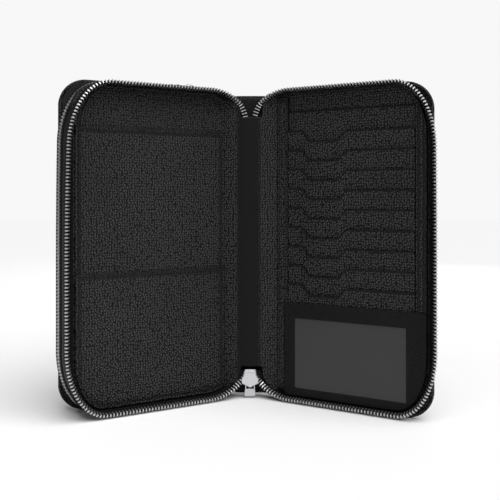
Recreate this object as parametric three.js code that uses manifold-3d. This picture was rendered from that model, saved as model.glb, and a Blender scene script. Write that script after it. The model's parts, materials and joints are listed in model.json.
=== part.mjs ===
// Travel document organizer: a leather folder with two zip-round compartments.
//
// The middle leaf and the right half open like a book on a narrow spine, and hold the
// pockets and card slots between them. Behind the middle leaf is a second, closed
// compartment under the outer cover, with a zip and a spine wall of its own.
// It stands on its lower edge, opened to 120 degrees. Millimetres, +Z up, viewer looks along +Y.
import * as THREE from 'three';
import { mergeVertices } from 'three/addons/utils/BufferGeometryUtils.js';
import Module from 'manifold-3d';

const wasm = await Module();
wasm.setup();

// ---- Driving dimensions ------------------------------------------------------------

const LEAN = THREE.MathUtils.degToRad(30); // each half is this far forward of lying flat
const SPINE_WIDTH = 24;                    // fold line to fold line
const GAP = 0.3;                           // air between touching layers

const LEATHER = 1.2;                       // cover leather
const LINING = 0.8;                        // lining leather
const BOARD = 1.2;                         // stiffener board
const POCKET = 0.6;                        // pocket leather

const CHAIN_HALF = 1.1;                    // half the thickness of a row of teeth
const CHAIN_DEPTH = 2.6;                   // length of the teeth of one row
const TAPE = 0.7;                          // zip tape with its leather facing

const ROUND_STEPS = 9;                     // facets of a rounded corner

// Outlines of a leaf seen square on: u runs out from the fold line, v runs up.
// reach is the far edge, cornerU and cornerV the half axes of its rounded corners,
// and spineU, spineR the centre and radius of the turn that a zip makes beside the fold.
const ROW = { reach: 133.2, foot: 2.2, top: 231.6, cornerU: 28, cornerV: 45, spineU: 25, spineR: 37 };
const LEFT_RIM = { reach: 125.3, foot: 3.9, top: 229.6, cornerU: 21, cornerV: 38, spineU: 25, spineR: 35 };
const RIGHT_RIM = { ...LEFT_RIM, reach: 127.9, cornerU: 23 };
const REAR_ROW = { reach: 131.4, foot: 2.2, top: 231.5, cornerU: 26, cornerV: 42, spineU: 25, spineR: 22 };
const REAR_RIM = { ...REAR_ROW, reach: 126.4, foot: 4.2, top: 229.2, cornerU: 21, cornerV: 37, spineR: 21 };
const RIGHT_COVER = { reach: 130, foot: 0, top: 231, cornerU: 25, cornerV: 25 };
const REAR_COVER = { reach: 129, foot: 0, top: 234.5, cornerU: 20, cornerV: 20 };
const LEAF = { reach: 126.5, foot: 2.5, top: 230.5, cornerU: 20, cornerV: 20 };

const FOLD_CLEAR = 2;                      // layers stop this far from a fold line
const ROW_START = 8;                       // the open zip's rows join a leaf this far from its fold
const ROW_INNER = 9.2;                     // height of the open zip's tape over the leaf
const REAR_DEPTH = 22;                     // middle leaf to the fold of the outer cover

const POCKET_INSET = 1.1;                  // pockets stop this far inside the foot of the zip wall
const LEFT_POCKET_START = 9;
const FULL_POCKET_TOP = 200.6;
const HALF_POCKET_TOP = 98.6;

const SLOT_COUNT = 9;
const SLOT_TOP = 199.3;                    // edge of the highest card slot
const SLOT_PITCH = 14.1;
const SLOT_LENGTH = 22;                    // with the part that runs under the next slot
const SLOT_LEATHER = 0.45;
const SLOT_START = 22.2;
const SLOT_END = 118;
const NOTCH = { left: 34.4, floorLeft: 39.9, floorRight: 61.3, right: 67.9, depth: 6.5, rise: 1.2 };

const RIGHT_POCKET_TOP = 215.3;
const STRIP_START = 12.5;                  // strip that hems the card slots beside the spine
const STRIP_END = 21.9;
const OUTER_STRIP_START = 118.3;
const STRIP_FOOT = 7.6;
const STRIP_TOP = 225.8;

const WINDOW_POCKET_TOP = 73.2;
const WINDOW_POCKET_START = 19.2;
const WINDOW = { left: 27.5, right: 112.4, foot: 10.8, top: 62.2 };
const FILM = 0.3;
const FILM_MARGIN = 1.6;                   // film hidden behind the frame

const SPINE_TOP = 228.7;
const SPINE_FOOT = 2;
const SPINE_CLEAR = 1.5;
const GUTTER = { left: -8, right: 6, foot: 25, top: 213, front: -10.2 };
const TAIL = { inner: 0.5, outer: 3.1, front: -7.2, back: -4.8, length: 12 };

const SLIDER = { halfTop: 4.7, halfWide: 6.3, halfShoulder: 5.5, up: 6.3, tip: -6.3, plate: 1.0, bay: 1.4 };
const MAIN_SLIDER_AT = [0, -10.2, 15.5];
const REAR_SLIDER_U = 32;
const CROWN_AT = 0.9;                      // centre of the crown over the slider's own centre
const CROWN = { half: 3.2, post: 1.1, width: 1.2, rise: 1.75, bar: 0.65 };
const PULL = { length: 15.5, eyeHalf: 3.4, endHalf: 4.3, thick: 1.1, bar: 0.55, hole: 5, holeHalf: 1.5 };
const HINGE_RISE = 0.8;                    // hinge line of a pull over the slider's outer plate

// ---- Colours ---------------------------------------------------------------------

const leather = () => new THREE.MeshStandardMaterial({ color: 0x1e1d1f, roughness: 0.55, metalness: 0 });
const smooth = () => new THREE.MeshStandardMaterial({ color: 0x151416, roughness: 0.7, metalness: 0 });
const board = () => new THREE.MeshStandardMaterial({ color: 0x6b6257, roughness: 0.9, metalness: 0 });
const fabric = () => new THREE.MeshStandardMaterial({ color: 0x101011, roughness: 0.85, metalness: 0 });
const metal = () => new THREE.MeshStandardMaterial({ color: 0xb9b8bc, roughness: 0.3, metalness: 1 });
const film = () => new THREE.MeshStandardMaterial({ color: 0x4a4a4c, roughness: 0.35, metalness: 0 });

// ---- Groups: one for each leaf, in that leaf's own frame -----------------------------

// In a left-hand leaf (middle leaf, outer cover) local +Y faces the reader; in the right half
// it faces away, so heights over the leaf are turned by its facing.
const organizer = new THREE.Group();
const leftLeaf = new THREE.Group();
leftLeaf.position.x = -SPINE_WIDTH / 2;
leftLeaf.rotation.z = Math.PI + LEAN;
leftLeaf.userData.facing = 1;
const rightHalf = new THREE.Group();
rightHalf.position.x = SPINE_WIDTH / 2;
rightHalf.rotation.z = -LEAN;
rightHalf.userData.facing = -1;
const spine = new THREE.Group();
organizer.add(leftLeaf, rightHalf, spine);

function addPart(group, name, geometry, material) {
  const mesh = new THREE.Mesh(geometry, material);
  mesh.name = name;
  group.add(mesh);
  return mesh;
}

// ---- Outlines ------------------------------------------------------------------------

// Points of an ellipse arc about (cu, cv) with half axes ru, rv, from one angle to another.
function arcPoints(cu, cv, ru, rv, from, to) {
  const points = [];
  for (let i = 0; i <= ROUND_STEPS; i++) {
    const angle = from + ((to - from) * i) / ROUND_STEPS;
    points.push(new THREE.Vector2(cu + ru * Math.cos(angle), cv + rv * Math.sin(angle)));
  }
  return points;
}

const HALF_TURN = Math.PI;
const RIGHT_ANGLE = Math.PI / 2;

// A leaf's outline from u = start outwards and from its foot up to v = cut, shrunk by inset.
// Where rim has a spineR, the corners beside the spine are rounded with it as well.
function leafOutline(rim, start, { cut = rim.top, inset = 0 } = {}) {
  const reach = rim.reach - inset;
  const foot = rim.foot + inset;
  const top = rim.top - inset;
  const ru = rim.cornerU - inset;
  const rv = rim.cornerV - inset;
  const turn = (rim.spineR ?? 0) - inset;
  const round = rim.spineR && start < rim.spineU;
  const turnAngle = round ? Math.acos((start - rim.spineU) / turn) : 0;
  const points = [];
  if (round) {
    points.push(...arcPoints(rim.spineU, foot + turn, turn, turn, -turnAngle, -RIGHT_ANGLE));
  } else {
    points.push(new THREE.Vector2(start, foot));
  }
  points.push(...arcPoints(reach - ru, foot + rv, ru, rv, -RIGHT_ANGLE, 0));
  const crown = Math.min(cut, top);
  const cornerStart = top - rv;
  if (crown > cornerStart) {
    const end = Math.asin((crown - cornerStart) / rv);
    points.push(...arcPoints(reach - ru, cornerStart, ru, rv, 0, end));
  } else {
    points.push(new THREE.Vector2(reach, crown));
  }
  if (round && crown === top) {
    points.push(...arcPoints(rim.spineU, top - turn, turn, turn, RIGHT_ANGLE, turnAngle));
  } else {
    points.push(new THREE.Vector2(start, crown));
  }
  return points;
}

// A flat layer: the outline in (u, v), filled between the heights back and front over the leaf.
function layer(group, outline, back, front) {
  const shape = outline instanceof THREE.Shape ? outline : new THREE.Shape(outline);
  const geometry = new THREE.ExtrudeGeometry(shape, { depth: front - back, bevelEnabled: false });
  geometry.rotateX(RIGHT_ANGLE);
  geometry.translate(0, group.userData.facing > 0 ? front : -back, 0);
  return geometry;
}

function rectangle(left, right, foot, top) {
  return [[left, foot], [right, foot], [right, top], [left, top]].map(([u, v]) => new THREE.Vector2(u, v));
}

// An upright box given by its limits, for the pieces of the spine.
function slab(x0, x1, y0, y1, z0, z1) {
  const geometry = new THREE.BoxGeometry(x1 - x0, y1 - y0, z1 - z0);
  geometry.translate((x0 + x1) / 2, (y0 + y1) / 2, (z0 + z1) / 2);
  return geometry;
}

// ---- Swept solids: zip rows and their tapes ---------------------------------------------

// The way a zip row runs round a leaf: down from the top beside the spine, over the top,
// round the two outer corners and back under the foot. start is where it leaves the spine.
function rimPath(rim, start) {
  const { reach, foot, top, cornerU: ru, cornerV: rv, spineU, spineR } = rim;
  const leave = Math.acos(Math.max(-1, (start - spineU) / spineR));
  return [
    ...arcPoints(spineU, top - spineR, spineR, spineR, leave, RIGHT_ANGLE),
    ...arcPoints(reach - ru, top - rv, ru, rv, RIGHT_ANGLE, 0),
    ...arcPoints(reach - ru, foot + rv, ru, rv, 0, -RIGHT_ANGLE),
    ...arcPoints(spineU, foot + spineR, spineR, spineR, -RIGHT_ANGLE, -leave),
  ];
}

// Unit vectors pointing out of the path, square to the line from the last point to the next.
function outwardNormals(path) {
  return path.map((point, i) => {
    const before = path[Math.max(0, i - 1)];
    const after = path[Math.min(path.length - 1, i + 1)];
    const along = after.clone().sub(before).normalize();
    return new THREE.Vector2(-along.y, along.x);
  });
}

// A closed solid through a list of rings with the same number of points. A ring's first
// half is one face of the band and its second half, backwards, the other.
function sweep(rings) {
  const size = rings[0].length;
  const position = rings.flat().flatMap((p) => [p.x, p.y, p.z]);
  const index = [];
  for (let r = 0; r + 1 < rings.length; r++) {
    for (let k = 0; k < size; k++) {
      const a = r * size + k;
      const b = r * size + ((k + 1) % size);
      index.push(a, b, a + size, b, b + size, a + size);
    }
  }
  const last = (rings.length - 1) * size;
  for (let k = 0; k + 1 < size / 2; k++) {
    const far = size - 1 - k;
    index.push(k, far, k + 1, k + 1, far, far - 1);
    index.push(last + k, last + k + 1, last + far, last + k + 1, last + far - 1, last + far);
  }
  const geometry = new THREE.BufferGeometry();
  geometry.setAttribute('position', new THREE.Float32BufferAttribute(position, 3));
  geometry.setIndex(signedVolume(position, index) < 0 ? index.reverse() : index);
  return geometry;
}

function signedVolume(position, index) {
  const corner = (i) => new THREE.Vector3().fromArray(position, 3 * index[i]);
  let volume = 0;
  for (let i = 0; i < index.length; i += 3) {
    volume += corner(i).dot(corner(i + 1).cross(corner(i + 2))) / 6;
  }
  return volume;
}

// One row of teeth as a plain band, between the heights back and front over the leaf.
function toothBand(group, rim, start, back, front) {
  const facing = group.userData.facing;
  const path = rimPath(rim, start);
  const normals = outwardNormals(path);
  const corners = [[CHAIN_HALF, back], [CHAIN_HALF, front], [-CHAIN_HALF, front], [-CHAIN_HALF, back]];
  return sweep(path.map((point, i) => corners.map(([out, height]) => new THREE.Vector3(
    point.x + normals[i].x * out, facing * height, point.y + normals[i].y * out,
  ))));
}

// The zip tape: a wall through the stations { path, height }, from the leaf's rim to the teeth.
function tapeWall(group, stations) {
  const facing = group.userData.facing;
  const normals = outwardNormals(stations[stations.length - 1].path);
  const at = (station, i, out) => new THREE.Vector3(
    station.path[i].x + normals[i].x * out, facing * station.height, station.path[i].y + normals[i].y * out,
  );
  return sweep(normals.map((_, i) => [
    ...stations.map((station) => at(station, i, TAPE / 2)),
    ...[...stations].reverse().map((station) => at(station, i, -TAPE / 2)),
  ]));
}

// ---- Booleans for the zip hardware --------------------------------------------------------

function toSolid(geometry) {
  const plain = geometry.clone();
  plain.deleteAttribute('normal');
  plain.deleteAttribute('uv');
  const merged = mergeVertices(plain);
  return new wasm.Manifold(new wasm.Mesh({
    numProp: 3,
    vertProperties: new Float32Array(merged.attributes.position.array),
    triVerts: new Uint32Array(merged.index.array),
  }));
}

function toGeometry(solid) {
  const mesh = solid.getMesh();
  const geometry = new THREE.BufferGeometry();
  geometry.setAttribute('position', new THREE.Float32BufferAttribute(mesh.vertProperties, 3));
  geometry.setIndex([...mesh.triVerts]);
  return geometry;
}

function union(geometries) {
  return toGeometry(geometries.map(toSolid).reduce((whole, piece) => whole.add(piece)));
}

// A plate in the slider's own frame: outline in (x, z), filled from y = near to y = far.
function plate(shape, near, far) {
  const geometry = new THREE.ExtrudeGeometry(shape, { depth: far - near, bevelEnabled: false, curveSegments: 6 });
  geometry.rotateX(RIGHT_ANGLE);
  geometry.translate(0, far, 0);
  return geometry;
}

// Outline of a slider plate: flat narrow end up, wide shoulders and a round tip down.
function sliderOutline() {
  const { halfTop, halfWide, halfShoulder, up, tip } = SLIDER;
  const shoulder = tip * 0.62;
  const shape = new THREE.Shape();
  shape.moveTo(-halfTop, up);
  shape.quadraticCurveTo(-halfTop, up * 0.45, -halfWide, 0);
  shape.quadraticCurveTo(-halfWide * 1.02, shoulder * 0.8, -halfShoulder, shoulder);
  shape.lineTo(-halfShoulder * 0.45, tip * 0.78);
  shape.quadraticCurveTo(0, tip * 1.2, halfShoulder * 0.45, tip * 0.78);
  shape.lineTo(halfShoulder, shoulder);
  shape.quadraticCurveTo(halfWide * 1.02, shoulder * 0.8, halfWide, 0);
  shape.quadraticCurveTo(halfTop, up * 0.45, halfTop, up);
  return shape;
}

// Slider body: two plates, the neck that parts the rows, and the crown that holds the pull.
// Its own frame has the chain along Z, the rows side by side along X and the crown at +Y.
function sliderBody(neckHalf) {
  const { plate: thick, bay, tip } = SLIDER;
  const outside = bay + thick;
  const barFoot = outside + CROWN.rise;
  const foot = CROWN_AT - CROWN.half;
  const head = CROWN_AT + CROWN.half;
  const overlap = 0.2;
  return union([
    plate(sliderOutline(), -outside, -bay),
    plate(sliderOutline(), bay, outside),
    slab(-neckHalf, neckHalf, -bay - overlap, bay + overlap, tip * 0.8, tip * 0.2),
    slab(-CROWN.width, CROWN.width, outside - overlap, barFoot, foot, foot + CROWN.post),
    slab(-CROWN.width, CROWN.width, outside - overlap, barFoot, head - CROWN.post, head),
    slab(-CROWN.width, CROWN.width, barFoot - overlap, barFoot + CROWN.bar, foot, head),
  ]);
}

// Pull: a plate that widens to its end, with an eye whose short side turns under the crown.
// It runs from the hinge line at the origin along +Z.
function pullTab() {
  const { length, eyeHalf, endHalf, thick, bar, hole, holeHalf } = PULL;
  const body = new THREE.Shape();
  const corner = 1.2;
  body.moveTo(-eyeHalf, -bar);
  body.lineTo(eyeHalf, -bar);
  body.lineTo(endHalf, length - corner);
  body.lineTo(endHalf - corner, length);
  body.lineTo(corner - endHalf, length);
  body.lineTo(-endHalf, length - corner);
  body.holes.push(new THREE.Path(rectangle(-holeHalf, holeHalf, bar, hole)));
  return plate(body, -thick / 2, thick / 2);
}

const HINGE_OUT = SLIDER.bay + SLIDER.plate + HINGE_RISE;

// ---- Middle leaf ------------------------------------------------------------------------

function buildMiddleLeaf() {
  const leaf = leftLeaf;
  const liningBack = -LINING;
  const boardFront = liningBack - GAP;
  const boardBack = boardFront - BOARD;
  const backFront = boardBack - GAP;
  const backBack = backFront - LINING;
  const pocketFront = GAP + POCKET;
  addPart(leaf, 'left_lining_panel', layer(leaf, leafOutline(LEAF, FOLD_CLEAR), liningBack, 0), leather());
  addPart(leaf, 'middle_board',
    layer(leaf, leafOutline(LEAF, FOLD_CLEAR, { inset: 3 }), boardBack, boardFront), board());
  addPart(leaf, 'middle_back_lining', layer(leaf, leafOutline(LEAF, FOLD_CLEAR), backBack, backFront), smooth());

  const pocketShape = (cut) => leafOutline(LEFT_RIM, LEFT_POCKET_START, { cut, inset: POCKET_INSET });
  addPart(leaf, 'full_height_pocket', layer(leaf, pocketShape(FULL_POCKET_TOP), GAP, pocketFront), leather());
  addPart(leaf, 'half_height_pocket',
    layer(leaf, pocketShape(HALF_POCKET_TOP), pocketFront + GAP, pocketFront + GAP + POCKET), leather());

  const rowPath = rimPath(ROW, ROW_START);
  const start = ROW_START + 0.9;
  addPart(leaf, 'main_zip_tape_left', tapeWall(leaf, [
    { path: rimPath(LEFT_RIM, start), height: GAP },
    { path: rowPath, height: ROW_INNER - GAP },
  ]), fabric());
  addPart(leaf, 'main_zip_teeth_left',
    toothBand(leaf, ROW, ROW_START, ROW_INNER, ROW_INNER + CHAIN_DEPTH), metal());
  return backBack;
}

// ---- Outer compartment: its zip, spine wall and cover ----------------------------------------

function buildOuterCompartment(leafBack) {
  const leaf = leftLeaf;
  const middle = (leafBack - REAR_DEPTH + LEATHER) / 2 + 1.2;
  const parting = 0.5;
  const rowStart = REAR_ROW.spineU - REAR_ROW.spineR;
  const rowPath = rimPath(REAR_ROW, rowStart);
  const rimStart = REAR_RIM.spineU - REAR_RIM.spineR;
  const footPath = rimPath(REAR_RIM, rimStart);
  const bend = 1;
  const innerRow = middle + parting;
  const outerRow = middle - parting;
  const liningFront = -REAR_DEPTH + LINING + BOARD + 2 * GAP;
  const liningBack = liningFront - LINING;
  const boardBack = liningBack - GAP - BOARD;
  const coverFront = boardBack - GAP;

  addPart(leaf, 'outer_zip_tape_front', tapeWall(leaf, [
    { path: footPath, height: leafBack - GAP },
    { path: rowPath, height: leafBack - GAP - bend },
    { path: rowPath, height: innerRow + CHAIN_DEPTH + GAP },
  ]), fabric());
  addPart(leaf, 'outer_zip_teeth_front',
    toothBand(leaf, REAR_ROW, rowStart, innerRow, innerRow + CHAIN_DEPTH), metal());
  addPart(leaf, 'outer_zip_tape_rear', tapeWall(leaf, [
    { path: footPath, height: liningFront + GAP },
    { path: rowPath, height: liningFront + GAP + bend },
    { path: rowPath, height: outerRow - CHAIN_DEPTH - GAP },
  ]), fabric());
  addPart(leaf, 'outer_zip_teeth_rear',
    toothBand(leaf, REAR_ROW, rowStart, outerRow - CHAIN_DEPTH, outerRow), metal());

  const wallFront = leafBack - GAP;
  const wallBack = coverFront + FOLD_CLEAR;
  addPart(leaf, 'outer_spine_cover', slab(-LEATHER, 0, wallBack, wallFront, SPINE_FOOT, SPINE_TOP), leather());
  addPart(leaf, 'outer_spine_lining',
    slab(GAP, GAP + LINING, wallBack + GAP, wallFront - GAP, SPINE_FOOT + 2, SPINE_TOP - 2), smooth());

  const coverOutline = leafOutline(REAR_COVER, FOLD_CLEAR);
  addPart(leaf, 'outer_cover_lining',
    layer(leaf, leafOutline(REAR_COVER, FOLD_CLEAR, { inset: 2 }), liningBack, liningFront), smooth());
  addPart(leaf, 'outer_cover_board',
    layer(leaf, leafOutline(REAR_COVER, FOLD_CLEAR, { inset: 3 }), boardBack, liningBack - GAP), board());
  addPart(leaf, 'outer_cover', layer(leaf, coverOutline, coverFront - LEATHER, coverFront), leather());
  return middle;
}

// ---- Spine ---------------------------------------------------------------------------------

function buildSpine() {
  const half = SPINE_WIDTH / 2 - SPINE_CLEAR;
  addPart(spine, 'spine_cover', slab(-half, half, 0, LEATHER, SPINE_FOOT, SPINE_TOP), leather());
  addPart(spine, 'spine_board',
    slab(2 - half, half - 2, -GAP - BOARD + 0.2, -GAP, SPINE_FOOT + 4, SPINE_TOP - 4), board());
  addPart(spine, 'gutter_lining',
    slab(GUTTER.left, GUTTER.right, GUTTER.front, GUTTER.front + LINING, GUTTER.foot, GUTTER.top), smooth());
  const { inner, outer, front, back, length } = TAIL;
  for (const [side, sign] of [['left', -1], ['right', 1]]) {
    const x0 = Math.min(sign * inner, sign * outer);
    const x1 = Math.max(sign * inner, sign * outer);
    const topFoot = GUTTER.top + 1 - length;
    const footFoot = GUTTER.foot + GAP;
    addPart(spine, `main_zip_top_end_${side}`, slab(x0, x1, front, back, topFoot, topFoot + length), metal());
    addPart(spine, `main_zip_foot_end_${side}`, slab(x0, x1, front, back, footFoot, footFoot + length), metal());
  }
}

// ---- Right half ----------------------------------------------------------------------------

// One card slot: a strip whose top edge dips in a notch, and stands a little higher at its left.
function slotOutline() {
  const { left, floorLeft, floorRight, right, depth, rise } = NOTCH;
  const points = [
    [SLOT_START, -SLOT_LENGTH], [SLOT_END, -SLOT_LENGTH], [SLOT_END, 0], [right, 0],
    [floorRight, -depth], [floorLeft, -depth], [left, rise], [SLOT_START, rise],
  ];
  return points.map(([u, v]) => new THREE.Vector2(u, v));
}

// The hem of the card slots beside the zip: the part of the pocket outline past u = start.
function outerStripOutline(rim, start, inset) {
  const ru = rim.cornerU - inset;
  const rv = rim.cornerV - inset;
  const cu = rim.reach - inset - ru;
  const angle = Math.acos((start - cu) / ru);
  return [
    ...arcPoints(cu, rim.foot + inset + rv, ru, rv, -angle, 0),
    ...arcPoints(cu, rim.top - inset - rv, ru, rv, 0, angle),
  ];
}

function buildRightHalf() {
  const leaf = rightHalf;
  const boardBack = GAP;
  const liningBack = boardBack + BOARD + GAP;
  const liningFront = liningBack + LINING;
  const pocketBack = liningFront + GAP;
  const pocketFront = pocketBack + POCKET;
  const stripBack = pocketFront + GAP;
  const stripFront = stripBack + 1.4;
  const outlineTo = (start, cut) => leafOutline(RIGHT_RIM, start, { cut, inset: POCKET_INSET });

  addPart(leaf, 'right_cover', layer(leaf, leafOutline(RIGHT_COVER, FOLD_CLEAR), -LEATHER, 0), leather());
  addPart(leaf, 'right_board',
    layer(leaf, leafOutline(RIGHT_COVER, FOLD_CLEAR, { inset: 3 }), boardBack, boardBack + BOARD), board());
  addPart(leaf, 'right_lining_panel',
    layer(leaf, leafOutline(RIGHT_COVER, FOLD_CLEAR, { inset: 1.5 }), liningBack, liningFront), leather());
  addPart(leaf, 'right_slip_pocket',
    layer(leaf, outlineTo(STRIP_START, RIGHT_POCKET_TOP), pocketBack, pocketFront), leather());
  addPart(leaf, 'slot_hem_spine',
    layer(leaf, rectangle(STRIP_START, STRIP_END, STRIP_FOOT, STRIP_TOP), stripBack, stripFront), leather());
  addPart(leaf, 'slot_hem_zip',
    layer(leaf, outerStripOutline(RIGHT_RIM, OUTER_STRIP_START, POCKET_INSET), stripBack, stripFront), leather());

  // The slots lie like shingles: each leans out so that its foot tucks under the next one.
  const tilt = Math.atan2(SLOT_LEATHER + GAP, SLOT_PITCH);
  for (let i = 0; i < SLOT_COUNT; i++) {
    const slot = addPart(leaf, `card_slot_${i + 1}`, layer(leaf, slotOutline(), 0, SLOT_LEATHER), leather());
    slot.rotation.x = tilt;
    slot.position.y = -(stripBack + SLOT_LENGTH * Math.sin(tilt));
    slot.position.z = SLOT_TOP - i * SLOT_PITCH;
  }

  const filmBack = stripFront + GAP;
  const frameBack = filmBack + FILM + GAP;
  const film1 = rectangle(WINDOW.left - FILM_MARGIN, WINDOW.right + FILM_MARGIN,
    WINDOW.foot - FILM_MARGIN, WINDOW.top + FILM_MARGIN);
  addPart(leaf, 'id_window_film', layer(leaf, film1, filmBack, filmBack + FILM), film());
  const frame = new THREE.Shape(outlineTo(WINDOW_POCKET_START, WINDOW_POCKET_TOP));
  frame.holes.push(new THREE.Path(rectangle(WINDOW.left, WINDOW.right, WINDOW.foot, WINDOW.top)));
  addPart(leaf, 'id_window_pocket', layer(leaf, frame, frameBack, frameBack + LINING), leather());

  const rowPath = rimPath(ROW, ROW_START);
  addPart(leaf, 'main_zip_tape_right', tapeWall(leaf, [
    { path: rimPath(RIGHT_RIM, ROW_START + 0.9), height: liningFront + GAP },
    { path: rowPath, height: ROW_INNER - GAP },
  ]), fabric());
  addPart(leaf, 'main_zip_teeth_right',
    toothBand(leaf, ROW, ROW_START, ROW_INNER, ROW_INNER + CHAIN_DEPTH), metal());
}

// ---- Sliders and pulls -------------------------------------------------------------------------

// The main slider waits at the foot of the spine, crown towards the spine, its pull hanging.
function buildMainSlider() {
  const [x, y, z] = MAIN_SLIDER_AT;
  const body = addPart(spine, 'main_slider', sliderBody(1.2), metal());
  body.position.set(x, y, z);
  const pull = addPart(spine, 'main_pull', pullTab(), metal());
  pull.position.set(x, y + HINGE_OUT, z + CROWN_AT);
  pull.rotation.y = HALF_TURN;
}

// The outer slider sits on the closed zip's top run, crown up, its pull lying along the teeth.
function buildOuterSlider(middle) {
  const seat = new THREE.Group();
  seat.position.set(REAR_SLIDER_U, middle, REAR_ROW.top);
  const across = new THREE.Vector3(0, 1, 0);
  const out = new THREE.Vector3(0, 0, 1);
  const along = new THREE.Vector3(1, 0, 0);
  seat.quaternion.setFromRotationMatrix(new THREE.Matrix4().makeBasis(across, out, along));
  leftLeaf.add(seat);
  addPart(seat, 'outer_slider', sliderBody(0.2), metal());
  const pull = addPart(seat, 'outer_pull', pullTab(), metal());
  pull.position.set(0, HINGE_OUT, CROWN_AT);
}

const leafBack = buildMiddleLeaf();
const rearRowMiddle = buildOuterCompartment(leafBack);
buildSpine();
buildRightHalf();
buildMainSlider();
buildOuterSlider(rearRowMiddle);

// The origin is on the ground, under the centre of the box round the whole organizer.
organizer.updateMatrixWorld(true);
const box = new THREE.Box3().setFromObject(organizer, true);
const centre = box.getCenter(new THREE.Vector3());
organizer.position.set(-centre.x, -centre.y, -box.min.z);
organizer.updateMatrixWorld(true);

export default organizer;
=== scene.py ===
# %% [markdown]
# # A travel document organizer
# It is a leather folder that stands open on its edge. The right half holds stepped card
# slots and an ID window. The left leaf holds two slip pockets, and behind it is a second
# compartment, closed by a zip of its own. The solid model under this scene has every
# board, lining, pocket and hinge in place. Here each visible piece gets its real surface.

# %% Load the frame
import json
import math

import bpy
import numpy as np
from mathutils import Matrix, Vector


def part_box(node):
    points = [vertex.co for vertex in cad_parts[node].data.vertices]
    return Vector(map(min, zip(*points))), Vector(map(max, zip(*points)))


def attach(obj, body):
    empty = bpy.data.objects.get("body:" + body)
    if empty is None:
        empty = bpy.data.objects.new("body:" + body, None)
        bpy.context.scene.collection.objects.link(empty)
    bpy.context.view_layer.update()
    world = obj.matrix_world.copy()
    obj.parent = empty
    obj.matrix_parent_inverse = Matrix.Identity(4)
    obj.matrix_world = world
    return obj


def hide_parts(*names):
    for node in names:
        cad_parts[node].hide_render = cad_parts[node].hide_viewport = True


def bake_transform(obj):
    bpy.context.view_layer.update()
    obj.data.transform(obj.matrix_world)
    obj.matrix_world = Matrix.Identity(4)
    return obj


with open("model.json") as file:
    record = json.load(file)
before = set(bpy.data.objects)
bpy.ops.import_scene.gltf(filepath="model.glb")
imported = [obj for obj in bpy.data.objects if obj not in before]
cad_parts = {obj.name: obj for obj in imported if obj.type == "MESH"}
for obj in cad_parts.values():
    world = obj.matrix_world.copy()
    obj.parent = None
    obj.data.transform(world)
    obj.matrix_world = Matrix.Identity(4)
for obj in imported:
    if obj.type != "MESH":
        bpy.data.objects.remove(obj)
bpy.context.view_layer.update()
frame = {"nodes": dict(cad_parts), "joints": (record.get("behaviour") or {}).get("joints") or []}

JOINT = {joint["name"]: joint for joint in frame["joints"]}

# %% [markdown]
# ## Three leaves, three frames
# A leather goods maker cuts each leaf flat, so each leaf is easiest to shape flat as well:
# u millimetres out from the fold, v up from the ground, w over its face. The joints of the
# frame say where the folds are and which way each leaf runs, so nothing is measured twice.

# %% Leaf frames
MM = 0.001
UP = np.array([0.0, 0.0, 1.0])


class Leaf:
    """Places (u, w, v) in the scene: fold + u along out + w along face + v up, all in mm."""

    def __init__(self, fold, out, face):
        self.fold, self.out, self.face = (np.array(part, float) for part in (fold, out, face))

    def place(self, u, w, v):
        """Points (..., 3) in metres; u, w and v may be numbers or arrays that broadcast."""
        u, w, v = (np.asarray(part, float)[..., None] for part in np.broadcast_arrays(u, w, v))
        return self.fold + MM * (u * self.out + w * self.face + v * UP)


def unit(vectors):
    """Vectors divided by their own lengths."""
    vectors = np.asarray(vectors, float)
    return vectors / np.linalg.norm(vectors, axis=-1, keepdims=True)


def smoothstep(x):
    """x clipped to 0...1, then x^2 (3 - 2x): flat at both ends."""
    x = np.clip(x, 0, 1)
    return x * x * (3 - 2 * x)


def quarter(x):
    """x clipped to 0...1, then the quarter circle sqrt(1 - (1 - x)^2) from 0 up to 1."""
    return np.sqrt(1 - (1 - np.clip(x, 0, 1)) ** 2)


def bell(x, middle, width):
    """A groove's profile: exp(-((x - middle) / width)^2), 1 in its middle and 0 far off."""
    return np.exp(-(((x - middle) / width) ** 2))


def distance_along(path):
    """How far along a path (n, k) each of its points lies: the running sum of its legs."""
    return np.concatenate([[0], np.cumsum(np.linalg.norm(np.diff(path, axis=0), axis=1))])


def follow(stops, reach, path):
    """The points of a path at given distances along it, one column per coordinate."""
    return np.stack([np.interp(stops, reach, column) for column in path.T], -1)


LEFT_OUT = unit(JOINT["outer_slider_slide"]["axis"])
LEFT_FACE = -unit(JOINT["outer_pull_swing"]["axis"])
MIRROR = np.array([-1.0, 1.0, 1.0])
LEFT = Leaf(JOINT["spine_fold"]["pos_m"], LEFT_OUT, LEFT_FACE)
RIGHT = Leaf(JOINT["right_fold"]["pos_m"], LEFT_OUT * MIRROR, LEFT_FACE * MIRROR)
MIDDLE = (LEFT.fold + RIGHT.fold) / 2
SPINE = Leaf(MIDDLE, [1, 0, 0], [0, -1, 0])
SPINE_HALF = np.linalg.norm(LEFT.fold - RIGHT.fold) / 2 / MM
REAR_DEPTH = np.linalg.norm(np.array(JOINT["outer_cover_fold"]["pos_m"]) - LEFT.fold) / MM
print(f"spine {2 * SPINE_HALF:.1f} mm wide, outer compartment {REAR_DEPTH:.1f} mm deep")

# %% [markdown]
# ## The camera and the light
# The organizer is looked at from straight ahead, a little over half its height, with a
# longish lens. Black leather only shows its grain where something bright is mirrored in
# it, so the room is kept dim, a wide ceiling light rakes down the leaves and small soft
# ones stand round about. The camera itself sees a pale room, as against a lit backdrop.

# %% Camera, floor and lights
CAMERA_BACK = 0.5646
CAMERA_HEIGHT = 0.153
LENS = 53.2
LENS_SHIFT = -0.11

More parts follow.
